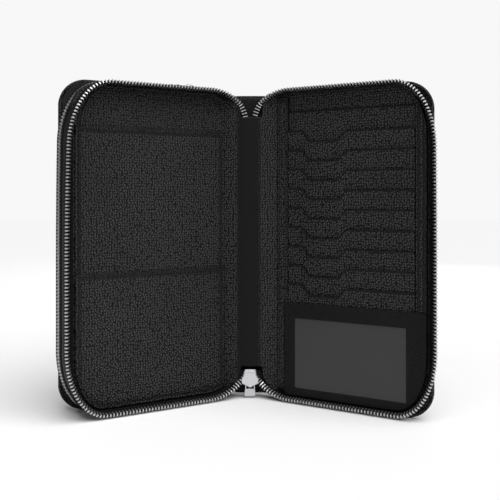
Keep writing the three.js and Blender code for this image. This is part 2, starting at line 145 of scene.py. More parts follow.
scene = bpy.context.scene
camera_data = bpy.data.cameras.new("camera")
camera_data.lens = LENS
camera_data.shift_y = LENS_SHIFT
camera = bpy.data.objects.new("camera", camera_data)
camera.location = MIDDLE + np.array([0, -CAMERA_BACK, CAMERA_HEIGHT])
camera.rotation_euler = (math.pi / 2, 0, 0)
scene.collection.objects.link(camera)
scene.camera = camera
scene.view_settings.view_transform = "Standard"


def area_light(name, place, aim, size, power):
    """A square soft light at place, turned towards aim, both in metres from the spine's foot."""
    data = bpy.data.lights.new(name, "AREA")
    data.shape = "SQUARE"
    data.size = size
    data.energy = power
    light = bpy.data.objects.new(name, data)
    place = MIDDLE + np.array(place)
    light.location = place
    down = unit(MIDDLE + np.array(aim) - place)
    pitch = math.acos(-down[2])
    light.rotation_euler = (pitch, 0, math.atan2(down[1], down[0]) - math.pi / 2)
    scene.collection.objects.link(light)


area_light("light_over_front", (-0.2, -0.5, 0.62), (0, -0.05, 0.12), 0.35, 0.6)
area_light("light_left", (-0.8, -0.5, 0.35), (0, 0, 0.12), 0.4, 0.25)
area_light("light_right", (0.8, -0.5, 0.35), (0, 0, 0.12), 0.4, 0.25)
area_light("light_behind", (0.2, 0.9, 0.55), (0, 0, 0.12), 0.8, 1.1)

CEILING_POWER = 3.2
CEILING_WIDTH = 60
CEILING_TILT = (24, 18, 0)
ROOM_SEEN_BY_LEATHER = 0.14
ROOM_SEEN_BY_CAMERA = 0.935

sky_data = bpy.data.lights.new("ceiling_light", "SUN")
sky_data.energy = CEILING_POWER
sky_data.angle = math.radians(CEILING_WIDTH)
sky = bpy.data.objects.new("ceiling_light", sky_data)
sky.rotation_euler = [math.radians(turn) for turn in CEILING_TILT]
scene.collection.objects.link(sky)

world = bpy.data.worlds.new("studio")
world.use_nodes = True
tree = world.node_tree
ray = tree.nodes.new("ShaderNodeLightPath")
amount = tree.nodes.new("ShaderNodeMapRange")
amount.inputs["To Min"].default_value = ROOM_SEEN_BY_LEATHER
amount.inputs["To Max"].default_value = ROOM_SEEN_BY_CAMERA
tree.links.new(ray.outputs["Is Camera Ray"], amount.inputs["Value"])
tree.links.new(amount.outputs[0], tree.nodes["Background"].inputs["Strength"])
tree.nodes["Background"].inputs["Color"].default_value = (1, 1, 1, 1)
scene.world = world

# %% [markdown]
# ## Materials
# Pebble grain is pressed into the hide with a heated plate: rounded cells about two
# millimetres across, with fine creases between them. A flat Voronoi texture gives the cells,
# laid on each piece by a UV map in metres along the hide, and the bump follows them. The
# effect sits in one node group, so the cover, the pockets and the smoother trim share it.


# %% Node helpers
def new_material(name):
    """A material with an empty node tree but for a Principled shader and its output."""
    material = bpy.data.materials.new(name)
    material.use_nodes = True
    nodes = material.node_tree.nodes
    nodes.clear()
    output = nodes.new("ShaderNodeOutputMaterial")
    shader = nodes.new("ShaderNodeBsdfPrincipled")
    material.node_tree.links.new(shader.outputs["BSDF"], output.inputs["Surface"])
    return material, shader


def add_node(tree, kind, settings=None, **inputs):
    """A node with its settings, and inputs that are numbers or other nodes' outputs."""
    node = tree.nodes.new(kind)
    for key, value in (settings or {}).items():
        setattr(node, key, value)
    for key, value in inputs.items():
        socket = node.inputs[int(key[1:])] if key[0] == "_" else node.inputs[key.replace("_", " ")]
        if isinstance(value, bpy.types.NodeSocket):
            tree.links.new(value, socket)
        else:
            socket.default_value = value
    return node


def new_group(name, inputs, outputs):
    """An empty shader node group with float inputs {name: default} and float outputs."""
    group = bpy.data.node_groups.new(name, "ShaderNodeTree")
    for label, default in inputs.items():
        socket = group.interface.new_socket(label, in_out="INPUT", socket_type="NodeSocketFloat")
        socket.default_value = default
    for label in outputs:
        group.interface.new_socket(label, in_out="OUTPUT", socket_type="NodeSocketFloat")
    return group, group.nodes.new("NodeGroupInput"), group.nodes.new("NodeGroupOutput")


def math_node(tree, operation, a, b=0.0):
    """One arithmetic step on two numbers or sockets."""
    return add_node(tree, "ShaderNodeMath", {"operation": operation}, _0=a, _1=b).outputs[0]


def colour_between(tree, shader, share, dark, light):
    """Base colour = dark + share x (light - dark)."""
    mix = add_node(tree, "ShaderNodeMix", {"data_type": "RGBA"}, _0=share,
                   _6=(*dark, 1), _7=(*light, 1))
    tree.links.new(mix.outputs[2], shader.inputs["Base Color"])


def bump(tree, shader, height, strength, depth):
    """The shader's normal is tilted as if the surface rose by height x depth in metres."""
    relief = add_node(tree, "ShaderNodeBump", Height=height, Strength=strength, Distance=depth)
    tree.links.new(relief.outputs["Normal"], shader.inputs["Normal"])


def object_place(tree):
    """Where a point lies in its own object, in metres."""
    return add_node(tree, "ShaderNodeTexCoord").outputs["Object"]


# %% The pebble grain group
CELL_RADIUS = 0.72
CREASE_WIDTH = 0.3


def make_grain_group():
    """Height = dome x crease + Fine x noise. With F1 and F2 the distances to the nearest two
    cell middles, dome = 1 - (F1 / 0.72)^2, and crease is 0 where F2 = F1, between two cells,
    and 1 where they differ by 0.3. Tone = a slow wander from 0.55 to 1.45 over the hide. The
    Voronoi cells lie on the surface's own two coordinates, which noise pushes about, so that
    no cell is a straight polygon."""
    group, source, sink = new_group("pebble_grain", {"Cells": 540.0, "Fine": 0.2}, ["Height", "Tone"])
    group.interface.new_socket("Surface", in_out="INPUT", socket_type="NodeSocketVector")
    place = source.outputs["Surface"]
    push = add_node(group, "ShaderNodeTexNoise", Vector=place, Scale=420.0, Detail=1.0)
    centred = add_node(group, "ShaderNodeVectorMath", {"operation": "SUBTRACT"},
                       _0=push.outputs["Color"], _1=(0.5, 0.5, 0.5))
    small = add_node(group, "ShaderNodeVectorMath", {"operation": "MULTIPLY"},
                     _0=centred.outputs[0], _1=(0.0014, 0.0014, 0.0))
    pushed = add_node(group, "ShaderNodeVectorMath", {"operation": "ADD"},
                      _0=place, _1=small.outputs[0])
    nearest, second = (
        add_node(group, "ShaderNodeTexVoronoi", {"voronoi_dimensions": "2D", "feature": feature},
                 Vector=pushed.outputs[0], Scale=source.outputs["Cells"], Randomness=0.7)
        for feature in ("F1", "F2"))
    away = math_node(group, "DIVIDE", nearest.outputs["Distance"], CELL_RADIUS)
    dome = math_node(group, "SUBTRACT", 1.0, math_node(group, "MULTIPLY", away, away))
    margin = math_node(group, "SUBTRACT", second.outputs["Distance"], nearest.outputs["Distance"])
    crease = add_node(group, "ShaderNodeMapRange", {"interpolation_type": "SMOOTHSTEP"},
                      Value=margin, From_Min=0.0, From_Max=CREASE_WIDTH)
    pebble = math_node(group, "MULTIPLY", dome, crease.outputs[0])
    fine = add_node(group, "ShaderNodeTexNoise", Vector=place, Scale=1700.0, Detail=3.0)
    rough = math_node(group, "MULTIPLY", fine.outputs["Fac"], source.outputs["Fine"])
    group.links.new(math_node(group, "ADD", pebble, rough), sink.inputs["Height"])
    slow = add_node(group, "ShaderNodeTexNoise", Vector=place, Scale=22.0, Detail=2.0)
    tone = add_node(group, "ShaderNodeMapRange", Value=slow.outputs["Fac"], To_Min=0.55, To_Max=1.45)
    group.links.new(tone.outputs[0], sink.inputs["Tone"])
    return group


SURFACE_UV = "surface"
GRAIN = make_grain_group()


GRAIN_LEFT = "grain"
TOP_SHARPNESS = 4.5
CREASE_ROUGHER = 0.35


def leather(name, slot, dark, light, cells, depth, roughness, gloss):
    """Leather: painted shade in the creases (colour dark) and a painted highlight on the pebble
    tops (colour light), mixed by height^4.5 x tone, and a bump that follows the grain. The
    points' own grain attribute says how much of the pebble is left: none where leather is
    turned over an edge or pressed in a fold, and there the colour is the dark crease shade.
    gloss is the strength of its reflection, and the creases are rougher than the tops."""
    material, shader = new_material(name)
    tree = material.node_tree
    surface = add_node(tree, "ShaderNodeUVMap", {"uv_map": SURFACE_UV}).outputs["UV"]
    grain = add_node(tree, "ShaderNodeGroup", {"node_tree": GRAIN}, Cells=cells, Fine=0.2,
                     Surface=surface)
    left = add_node(tree, "ShaderNodeAttribute", {"attribute_name": GRAIN_LEFT}).outputs["Fac"]
    height = math_node(tree, "MULTIPLY", grain.outputs["Height"], left)
    sharp = math_node(tree, "POWER", height, TOP_SHARPNESS)
    # tops is the share of painted highlight: the pebble tops are lighter in colour, and the creases
    # keep the painted shade colour.
    tops = math_node(tree, "MULTIPLY", sharp, grain.outputs["Tone"])
    colour_between(tree, shader, tops, dark, light)
    shine = add_node(tree, "ShaderNodeMapRange", Value=height, From_Min=0.0, From_Max=0.9,
                     To_Min=roughness + CREASE_ROUGHER, To_Max=roughness)
    tree.links.new(shine.outputs[0], shader.inputs["Roughness"])
    bump(tree, shader, height, 1.0, depth)
    shader.inputs["Specular IOR Level"].default_value = gloss
    material["slot"] = slot
    return material


# The crease and top colours paint light into the leather: the dark one is painted shade in the creases,
# the light one a painted highlight on the pebble tops. The trim and the lining paint theirs the same
# way.
PAINTED_CREASE_SHADE, PAINTED_TOP_HIGHLIGHT = (0.003, 0.003, 0.0032), (0.049, 0.049, 0.0505)
PEBBLED = leather("pebbled_leather", "pebbled_leather", PAINTED_CREASE_SHADE, PAINTED_TOP_HIGHLIGHT, 540.0, 0.0004, 0.2, 0.17)
TRIM = leather("fine_grain_trim", "pebbled_leather", PAINTED_CREASE_SHADE, (0.012, 0.012, 0.0125),
               1000.0, 0.00008, 0.5, 0.14)
LINED = leather("smooth_lining", "lining_leather", (0.008, 0.008, 0.0085), (0.022, 0.022, 0.023),
                1600.0, 0.00003, 0.55, 0.18)


# %% [markdown]
# Zip tape is woven: warp and weft show as a fine diagonal rib. The teeth are dull nickel,
# the sliders are brushed, and the pulls are polished until they mirror the room.


# %% Tape, metal, thread, board and film
def woven(name, slot, colour, rib, depth):
    """Woven cloth: two crossing wave textures, multiplied, give the ribs. The hollows have
    half the colour, and the bump follows the ribs."""
    material, shader = new_material(name)
    tree = material.node_tree
    place = object_place(tree)
    waves = [
        add_node(tree, "ShaderNodeTexWave", {"bands_direction": way, "wave_profile": "SIN"},
                 Vector=place, Scale=rib, Distortion=0.4).outputs["Fac"]
        for way in ("DIAGONAL", "Z")]
    weave = math_node(tree, "MULTIPLY", *waves)
    colour_between(tree, shader, weave, [0.5 * part for part in colour], colour)
    bump(tree, shader, weave, 0.8, depth)
    shader.inputs["Roughness"].default_value = 0.85
    shader.inputs["Specular IOR Level"].default_value = 0.15
    material["slot"] = slot
    return material


def metal(name, slot, colour, roughness, brushing, depth):
    """Metal: even colour, with fine noise that scatters its gloss and lightly marks it."""
    material, shader = new_material(name)
    tree = material.node_tree
    stretched = add_node(tree, "ShaderNodeMapping", Vector=object_place(tree))
    stretched.inputs["Scale"].default_value = brushing
    noise = add_node(tree, "ShaderNodeTexNoise", Vector=stretched.outputs[0], Scale=1.0, Detail=4.0)
    gloss = add_node(tree, "ShaderNodeMapRange", Value=noise.outputs["Fac"], From_Min=0.3,
                     From_Max=0.7, To_Min=roughness - 0.07, To_Max=roughness + 0.1)
    tree.links.new(gloss.outputs[0], shader.inputs["Roughness"])
    bump(tree, shader, noise.outputs["Fac"], 0.6, depth)
    shader.inputs["Base Color"].default_value = (*colour, 1)
    shader.inputs["Metallic"].default_value = 1.0
    material["slot"] = slot
    return material


TAPE = woven("zip_tape", "zip_tape", (0.005, 0.005, 0.0055), 700.0, 0.00012)
THREAD = woven("black_thread", "pebbled_leather", (0.022, 0.022, 0.023), 2600.0, 0.00005)
BOARD = woven("stiffener_board", "stiffener_board", (0.014, 0.014, 0.014), 260.0, 0.00003)
NICKEL = metal("nickel_teeth", "zip_teeth", (0.62, 0.62, 0.63), 0.40, (700, 700, 700), 0.00001)
BRIGHT = metal("polished_nickel", "slider_metal", (0.62, 0.61, 0.64), 0.12, (900, 900, 900), 0.000004)
SATIN = metal("satin_nickel", "slider_metal", (0.72, 0.71, 0.73), 0.33, (4000, 4000, 300), 0.000008)


def window_film():
    """Clear film over a dark lining: a grey skin with a soft gloss and faint ripples."""
    material, shader = new_material("window_film")
    tree = material.node_tree
    noise = add_node(tree, "ShaderNodeTexNoise", Vector=object_place(tree), Scale=26.0, Detail=2.0)
    ripple = noise.outputs["Fac"]
    colour_between(tree, shader, ripple, (0.024, 0.024, 0.0245), (0.030, 0.030, 0.0305))
    bump(tree, shader, ripple, 0.25, 0.001)
    shader.inputs["Roughness"].default_value = 0.38
    shader.inputs["Specular IOR Level"].default_value = 0.4
    material["slot"] = "window_film"
    return material


FILM = window_film()
print("materials:", [material.name for material in bpy.data.materials if "slot" in material])

# %% [markdown]
# ## Putting points into a mesh
# Every piece below is worked out as whole arrays of points. These helpers number the
# quads of a grid, turn a closed skin the right way out by the sign of its volume, and
# hand the result to Blender.


# %% Mesh helpers
def grid_faces(rows, columns, wrap=False):
    """Quads between neighbours in a grid whose points are numbered row by row. With wrap,
    the last column joins the first, as round a tube."""
    row, column = np.meshgrid(np.arange(rows - 1), np.arange(columns - (not wrap)), indexing="ij")
    a = row * columns + column
    b = row * columns + (column + 1) % columns
    return np.stack([a, b, b + columns, a + columns], -1).reshape(-1, 4)


def volume_of(points, faces):
    """Signed volume inside a closed skin: a sum over its faces, fanned into triangles."""
    corners = points[faces]
    total = 0.0
    for k in range(1, faces.shape[1] - 1):
        crossed = np.cross(corners[:, k], corners[:, k + 1])
        total += np.einsum("ij,ij->", corners[:, 0], crossed)
    return total / 6


SHARP = math.radians(50)


def make_piece(name, points, faces, material, replaces=(), surface=None, grain=1.0):
    """A mesh object from points (n, 3) in metres and closed quads (m, 4), turned outwards.
    surface gives u and v of each point in mm, which become the UV map the grain reads, and
    grain how much of it is left at each point."""
    points = np.asarray(points, float).reshape(-1, 3)
    faces = np.asarray(faces)
    if volume_of(points - points.mean(0), faces) < 0:
        faces = faces[:, ::-1]
    mesh = bpy.data.meshes.new(name)
    mesh.from_pydata(points.tolist(), [], faces.tolist())
    mesh.shade_smooth()
    mesh.set_sharp_from_angle(angle=SHARP)
    mesh.materials.append(material)
    if surface is not None:
        u, v, left = (np.tile(np.ravel(part), len(points) // np.size(part))
                      for part in (*surface, grain))
        corner = faces.ravel()
        layer = mesh.uv_layers.new(name=SURFACE_UV)
        layer.data.foreach_set("uv", MM * np.stack([u[corner], v[corner]], -1).ravel())
        mesh.attributes.new(GRAIN_LEFT, "FLOAT", "POINT").data.foreach_set("value", left)
    piece = bpy.data.objects.new(name, mesh)
    scene.collection.objects.link(piece)
    if replaces:
        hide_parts(*replaces)
    print(f"{name}: {len(points)} points, {len(faces)} faces")
    return piece


def closed_sheet(front, back):
    """Points and quads of a sheet with two sides, both grids (rows, columns, 3), and an edge
    that joins their borders all the way round."""
    rows, columns = front.shape[:2]
    count = rows * columns
    number = np.arange(count).reshape(rows, columns)
    border = np.concatenate([number[0], number[1:, -1], number[-1, -2::-1], number[-2:0:-1, 0]])
    ahead = np.roll(border, -1)
    side = np.stack([border, border + count, ahead + count, ahead], -1)
    faces = grid_faces(rows, columns)
    points = np.concatenate([front.reshape(-1, 3), back.reshape(-1, 3)])
    return points, np.concatenate([faces, faces[:, ::-1] + count, side])


def closed_tube(rings):
    """Points and quads of a tube through rings (stations, points, 3). Each end is closed by
    quads that run across from one half of the ring to the other, so a ring is even."""
    stations, size = rings.shape[:2]
    low = np.arange(size // 2 - 1)
    end = np.stack([low, size - 1 - low, size - 2 - low, low + 1], -1)
    last = end[:, ::-1] + (stations - 1) * size
    faces = np.concatenate([grid_faces(stations, size, wrap=True), end, last])
    return rings.reshape(-1, 3), faces[:, ::-1]


def many_copies(shape, frames, origins):
    """The same small shape (k, 3) set down at each origin (n, 3) in its own frame (n, 3, 3):
    point = origin + shape @ frame, where a frame's rows are its axes. Returns (n, k, 3)."""
    return origins[:, None] + np.einsum("kj,njc->nkc", shape, frames)


def copied_faces(shape, count):
    """Quads of that many copies of a tube whose rings are shape (stations, points, 3)."""
    stations, size = shape.shape[:2]
    tube = closed_tube(shape)[1]
    return (tube[None] + (np.arange(count) * stations * size)[:, None, None]).reshape(-1, 4)


# %% [markdown]
# ## Outlines
# Each leaf has rounded outer corners, and the zip turns in towards the spine at its top and
# foot. The outline at any u is one formula, so a sheet is a set of upright columns, each
# from the outline's foot to its top, close together where the edge curves or rolls over.


# %% Outline formulas
class Rim:
    """Outline of a leaf in mm: its far edge, foot and top, the half axes of its two outer
    corners and, where a zip turns in beside the fold, the centre and radius of that turn."""

    def __init__(self, reach, foot, top, corner_u, corner_v, spine_u=0.0, spine_r=0.0):
        self.reach, self.foot, self.top = reach, foot, top
        self.corner_u, self.corner_v = corner_u, corner_v
        self.spine_u, self.spine_r = spine_u, spine_r

    def inset(self, by):
        """The outline a distance by inside this one: every edge in, every radius smaller."""
        return Rim(self.reach - by, self.foot + by, self.top - by, self.corner_u - by,
                   self.corner_v - by, self.spine_u, max(self.spine_r - by, 0))

    def shrink(self, u):
        """How far the outline has drawn in from its foot and top at u: an ellipse at the
        outer corners and a circle beside the spine."""
        drop = self.corner_v * (1 - quarter((self.reach - u) / self.corner_u))
        if self.spine_r:
            drop = drop + self.spine_r * (1 - quarter(1 - (self.spine_u - u) / self.spine_r))
        return drop

    def columns(self, start, step):
        """u of each column: fine steps at both edges, even steps between, and steps that
        shorten round the outer corner as the sine of the turn does."""
        corner = self.reach - self.corner_u
        even = np.linspace(start, corner, max(int((corner - start) / step), 2))
        turn = np.sin(np.linspace(0, math.pi / 2, 16))
        edge = start + np.array([0.25, 0.6, 1.2])
        far = self.reach - np.array([1.2, 0.5, 0.15])
        return np.unique(np.concatenate([even, edge, corner + self.corner_u * turn, far]).round(4))


ROW = Rim(133.2, 2.9, 230.5, 28, 45, 25, 36)
LEFT_RIM = Rim(125.3, 3.9, 229.6, 21, 38, 25, 35)
RIGHT_RIM = Rim(127.9, 3.9, 229.6, 23, 38, 25, 35)
REAR_ROW = Rim(131.4, 2.2, 231.5, 26, 42, 25, 22)
REAR_RIM = Rim(126.4, 4.2, 229.2, 21, 37, 25, 21)
RIGHT_COVER = Rim(130, 0, 231.2, 31, 35)
REAR_COVER = Rim(129, 0, 235.5, 20, 20)
LEAF_RIM = Rim(126.5, 2.5, 230.5, 20, 20)


def rows_between(edge_steps, count):
    """Fractions from 0 to 1: even, with a few extra close to both ends for a rolled edge."""
    close = np.array(edge_steps)
    return np.unique(np.concatenate([close, 1 - close, np.linspace(0, 1, count)]).round(6))


def rolled(edge, thickness, radius=0.9):
    """Height of a sheet near its border: it starts at a third of its thickness and follows a
    quarter circle up to the whole over the last millimetre."""
    return thickness * (0.35 + 0.65 * quarter(edge / radius))


TURN_LINE = 2.0
TIGHT_AT_SEAM = 2.0
LOOSE_OVER = 14.0
GROOVE_DEPTH = 0.22


def pressed(edge, width):
    """How much grain is left near a turned edge: none at the edge, all of it at width."""
    return smoothstep(edge / width)


def slack(u, v, seed, size):
    """Soft leather is never quite flat: three long crossing waves, mostly upwards."""
    total = np.sin(u / 23 + seed) * np.sin(v / 31 + 2 * seed)
    total = total + 0.6 * np.sin(u / 41 - v / 37 + 3 * seed) + 0.3 * np.sin(u / 11 + v / 67 + seed)
    return size * (0.5 + 0.26 * total)


def leaf_sheet(name, leaf, rim, start, material, front, back, cut=None, seam=None, soft=(0, 0),
               replaces=(), step=2.6, mouth=0.0):
    """A sheet lying over a leaf. Columns run from the outline's foot to the lower of its top
    and cut. Its front is at back + rolled(edge) and it sinks in a groove where the distance
    to its border is seam. soft is (size, seed) of its slack, which dies out at its edges, and
    mouth is how far its top edge stands off in the middle."""
    u = rim.columns(start, step)[:, None]
    shrink = rim.shrink(u)
    foot = rim.foot + shrink
    top = rim.top - shrink if cut is None else np.minimum(rim.top - shrink, cut)
    t = rows_between((0.0015, 0.004, 0.009, 0.016), 70)[None]
    v = foot + t * (top - foot)
    u = u + 0 * v
    edge = np.minimum.reduce([v - foot, top - v, u - start, rim.reach - u + 0.02])
    height = rolled(edge, front - back)
    if seam:
        height = height - GROOVE_DEPTH * bell(edge, seam, 0.8)
    size, seed = soft
    across = np.clip(np.minimum(u - start, rim.reach - u) / 12, 0, 1)
    gape = mouth * across * np.exp((v - top) / 7)
    loose = slack(u, v, seed, size) * np.clip((edge - TIGHT_AT_SEAM) / LOOSE_OVER, 0, 1)
    height = height + loose + gape
    under = back + 0.6 * loose + gape
    points, faces = closed_sheet(leaf.place(u, back + height, v), leaf.place(u, under, v))
    # Near its edges and down the seam's groove less grain is left, so the colour falls towards the dark
    # crease shade: painted shade along the turned edges and the seam.
    grain = pressed(edge, 1.2) if cut is None else pressed(top - v, TURN_LINE)
    if seam:
        grain = grain * (1 - 0.35 * bell(edge, seam, 0.9))
    return make_piece(name, points, faces, material, replaces, surface=(u, v), grain=grain)


# %% [markdown]
# ## Stitching
# Every edge is sewn with black thread, a stitch every two and a half millimetres, pulled
# down into the leather. One stitch is a small spindle; it is set down along a line by the
# hundred.


# %% Stitches
STITCH_PITCH = 2.5
STITCH_LENGTH = 1.7
STITCH_RADIUS = 0.36
STITCH_SLANT = 0.12


def spindle(length, radius, sides=6):
    """A stitch: rings round the x axis, full in the middle and drawn in at both ends, which
    are closed by small facets."""
    along = np.array([-0.5, -0.42, -0.2, 0.2, 0.42, 0.5])
    width = np.array([0.15, 0.62, 1.0, 1.0, 0.62, 0.15])
    angle = np.arange(sides) * 2 * math.pi / sides
    ring = np.stack([0 * angle, np.cos(angle), np.sin(angle)], -1)
    points = ring[None] * (radius * width)[:, None, None]
    points[..., 0] += length * along[:, None]
    return points


def walk(path, pitch, phase=0.5):
    """Points (n, 3) at even steps along a path (m, 3), the direction at each, and how far
    along the path each one is."""
    reach = distance_along(path)
    count = int(reach[-1] / pitch)
    stops = (np.arange(count) + phase) * reach[-1] / count
    leg = np.clip(np.searchsorted(reach, stops) - 1, 0, len(path) - 2)
    return follow(stops, reach, path), unit(np.diff(path, axis=0))[leg], stops


def stitching(name, body, paths, face):
    """Stitches along paths of points in metres. face is the way the leather looks. Each one is
    a spindle centred on the path and slightly turned, as thread lies."""
    shape = spindle(STITCH_LENGTH * MM, STITCH_RADIUS * MM)
    clouds = []
    for path in paths:
        at, along, _ = walk(np.asarray(path), STITCH_PITCH * MM)
        normal = np.broadcast_to(unit(face), at.shape)
        side = np.cross(normal, along)
        slant = unit(along + STITCH_SLANT * side)
        frames = np.stack([slant, np.cross(normal, slant), normal], 1)
        clouds.append(many_copies(shape.reshape(-1, 3), frames, at))
    cloud = np.concatenate(clouds)
    piece = make_piece(name, cloud, copied_faces(shape, len(cloud)), THREAD)
    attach(piece, body)


def upright(leaf, u, w, low, high):
    """A straight upright line on a leaf, as points in metres."""
    return leaf.place(u, w, [low, high])


def level(leaf, v, w, left, right):
    """A straight level line on a leaf."""
    return leaf.place([left, right], w, v)


def along_rim(leaf, rim, inset, w, start):
    """A line that follows a leaf's outline at a distance inside it, from the top beside the
    spine round the two outer corners to the foot."""
    inner = rim.inset(inset)
    u = inner.columns(start, 6.0)
    v = inner.top - inner.shrink(u)
    low = inner.foot + inner.shrink(u)
    return leaf.place(np.concatenate([u, u[::-1]]), w, np.concatenate([v, low[::-1]]))


# %% [markdown]
# ## The left leaf
# It is a board between two linings. Over its face lie a slip pocket as high as a boarding
# pass and a lower one in front. Each pocket is a piece of leather with its top edge turned
# over, sewn down on its other three sides, so it lies tight at the seams and a little loose
# in between.

# %% Left leaf
LINING = 0.8
POCKET_INSET = 1.1
LEFT_START = 9.0
FULL_TOP = (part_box("full_height_pocket")[1].z) / MM
HALF_TOP = (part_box("half_height_pocket")[1].z) / MM

lining = leaf_sheet("left_lining", LEFT, LEAF_RIM, LEFT_START, PEBBLED, 0.0, -LINING,
                    replaces=["left_lining_panel"])
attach(lining, "middle_leaf")

full = leaf_sheet("full_height_pocket_leather", LEFT, LEFT_RIM.inset(POCKET_INSET), LEFT_START + 0.3,
                  PEBBLED, 1.2, 0.15, cut=FULL_TOP, seam=3.0, soft=(0.8, 0.4), mouth=0.8,
                  replaces=["full_height_pocket"])
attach(full, "middle_leaf")

half = leaf_sheet("half_height_pocket_leather", LEFT, LEFT_RIM.inset(POCKET_INSET), LEFT_START + 0.6,
                  PEBBLED, 2.5, 1.45, cut=HALF_TOP, seam=3.0, soft=(1.1, 1.7), mouth=1.2,
                  replaces=["half_height_pocket"])
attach(half, "middle_leaf")

back_lining = leaf_sheet("middle_back_lining_leather", LEFT, LEAF_RIM, 2.0, LINED, -2.6, -3.4,
                         replaces=["middle_back_lining"])
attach(back_lining, "middle_leaf")

stitching("left_pocket_stitching", "middle_leaf", [
    along_rim(LEFT, LEFT_RIM, 3.8, 1.3, 16.0),
    upright(LEFT, LEFT_START + 2.4, 1.15, HALF_TOP + 2, FULL_TOP - 2),
    upright(LEFT, LEFT_START + 2.7, 2.45, 8.0, HALF_TOP - 1),
], LEFT.face)

# %% [markdown]
# ## The right half
# Nine card slots step down the leaf like shingles. Each is a strip with a dip for the
# thumb; its foot runs under the next one. Two hems cover their ends, a wide slip pocket
# opens behind them, and a window pocket for an ID card closes the foot of the stack.

# %% Card slots
SLOT_COUNT = 9
SLOT_LENGTH = 22.0
SLOT_LEATHER = 0.55
SLOT_PITCH = (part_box("card_slot_1")[1].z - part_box("card_slot_2")[1].z) / MM
NOTCH_RISE = 1.2
NOTCH_DEPTH = 6.5
NOTCH = np.array([33.8, 39.2, 62.7, 68.7])
SLOT_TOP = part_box("card_slot_1")[1].z / MM - NOTCH_RISE
SLOT_START, SLOT_END = 22.2, 118.0
SLOT_BACK = 3.8
SLOT_TILT = math.atan2(0.75, SLOT_PITCH)


def slot_edge(u):
    """Height of a slot's top edge at u: a raised shoulder at the left, a dip with sloping
    sides for the thumb and a level run to the right, its corners softened by a short average."""
    nudges = np.linspace(-0.8, 0.8, 5)
    marks = np.concatenate([[SLOT_START - 9], NOTCH, [SLOT_END + 9]])
    level_at = np.array([NOTCH_RISE, NOTCH_RISE, -NOTCH_DEPTH, -NOTCH_DEPTH, 0.0, 0.0])
    return np.mean([np.interp(u + nudge, marks, level_at) for nudge in nudges], axis=0)


def card_slot(number):
    """One slot: columns from its hidden foot up to slot_edge(u). It leans out by the tilt of
    a shingle, and its upper edge is turned, so it is a little thicker there."""
    fine = np.concatenate([NOTCH + nudge for nudge in (-1.2, -0.6, 0, 0.6, 1.2)])
    even = np.linspace(SLOT_START, SLOT_END, 44)
    ends = np.array([SLOT_START + 0.3, SLOT_END - 0.3])
    u = np.unique(np.concatenate([fine, even, ends]))[:, None]
    t = rows_between((0.012, 0.03, 0.06), 14)[None]
    edge_v = slot_edge(u)
    v = -SLOT_LENGTH + t * (edge_v + SLOT_LENGTH)
    u = u + 0 * v
    below = edge_v - v
    turned = 0.12 * np.exp(-((np.clip(below - 1.6, 0, None) / 1.6) ** 2))
    sag = 0.25 * np.sin((u - SLOT_START) / (SLOT_END - SLOT_START) * math.pi) * np.exp(-below / 7)
    lift = 0.75 * np.exp(-below / 2.5)
    out = lift + rolled(below, SLOT_LEATHER, 0.5) + turned + sag * (0.7 + 0.3 * math.sin(2.3 * number))
    base = SLOT_BACK + (v + SLOT_LENGTH) * math.sin(SLOT_TILT)
    high = SLOT_TOP - (number - 1) * SLOT_PITCH + v
    front = RIGHT.place(u, base + out, high)
    back = RIGHT.place(u, base + lift + 0.5 * sag, high)
    # Over the top millimetre or so of the slot no grain is left, so its colour is the dark crease
    # shade: a painted dark line along the top edge, painted shade of the gap behind it.
    piece = make_piece(f"card_slot_{number}_leather", *closed_sheet(front, back), PEBBLED,
                       [f"card_slot_{number}"], surface=(u, high), grain=pressed(below - 0.5, 1.0))
    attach(piece, "right_half")


for slot_number in range(1, SLOT_COUNT + 1):
    card_slot(slot_number)

# %% Right lining, slip pocket and hems
STRIP_START, STRIP_END = 12.5, 21.9
OUTER_STRIP = 118.3
RIGHT_PANEL = RIGHT_RIM.inset(POCKET_INSET)

right_lining = leaf_sheet("right_lining", RIGHT, RIGHT_COVER.inset(1.5), 3.0, PEBBLED, 2.6, 1.8,
                          replaces=["right_lining_panel"])
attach(right_lining, "right_half")
slip = leaf_sheet("right_slip_pocket_leather", RIGHT, RIGHT_PANEL, STRIP_START, PEBBLED, 3.65, 2.9,
                  cut=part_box("right_slip_pocket")[1].z / MM, replaces=["right_slip_pocket"])
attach(slip, "right_half")


def hem(name, start, end, replaces):
    """A narrow strip over the ends of the slots: an upright sheet between two values of u,
    pillowed across, its far side following the panel's outline."""
    across = rows_between((0.03, 0.08), 8)[:, None]
    t = rows_between((0.0015, 0.004), 90)[None]
    u = start + across * (end - start)
    shrink = RIGHT_PANEL.shrink(u)
    low = max(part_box(replaces)[0].z / MM, RIGHT_PANEL.foot)
    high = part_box(replaces)[1].z / MM
    foot = np.maximum(RIGHT_PANEL.foot + shrink, low)
    top = np.minimum(RIGHT_PANEL.top - shrink, high)
    v = foot + t * (top - foot)
    u = u + 0 * v
    edge = np.minimum.reduce([u - start, end - u, v - foot, top - v])
    groove = bell(edge, 2.0, 0.45)
    height = rolled(edge, 1.55, 0.9) - 0.3 * groove
    # Along the edges and in the stitch groove the grain is left out, so the colour there is the dark
    # crease shade: painted shade in the groove and a painted dark line at the edges.
    grain = pressed(edge, 0.8) * (1 - groove)
    sheet = closed_sheet(RIGHT.place(u, SLOT_BACK + height, v), RIGHT.place(u, SLOT_BACK, v))
    piece = make_piece(name, *sheet, PEBBLED, [replaces], surface=(u, v), grain=grain)
    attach(piece, "right_half")


hem("slot_hem_spine_leather", STRIP_START, STRIP_END, "slot_hem_spine")
hem("slot_hem_zip_leather", OUTER_STRIP, RIGHT_PANEL.reach, "slot_hem_zip")

# %% [markdown]
# The window pocket is a frame of finer leather with film behind it. The frame is made as a
# ring: loops that run once round it, from the outer edge, over the face and down into the
# window, so its two edges roll over as turned leather does.

# %% Window pocket
WINDOW_START = 19.2
WINDOW_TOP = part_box("id_window_pocket")[1].z / MM
FRAME_BACK = 5.8
WINDOW = (27.5, 112.4, 10.8, 62.2)


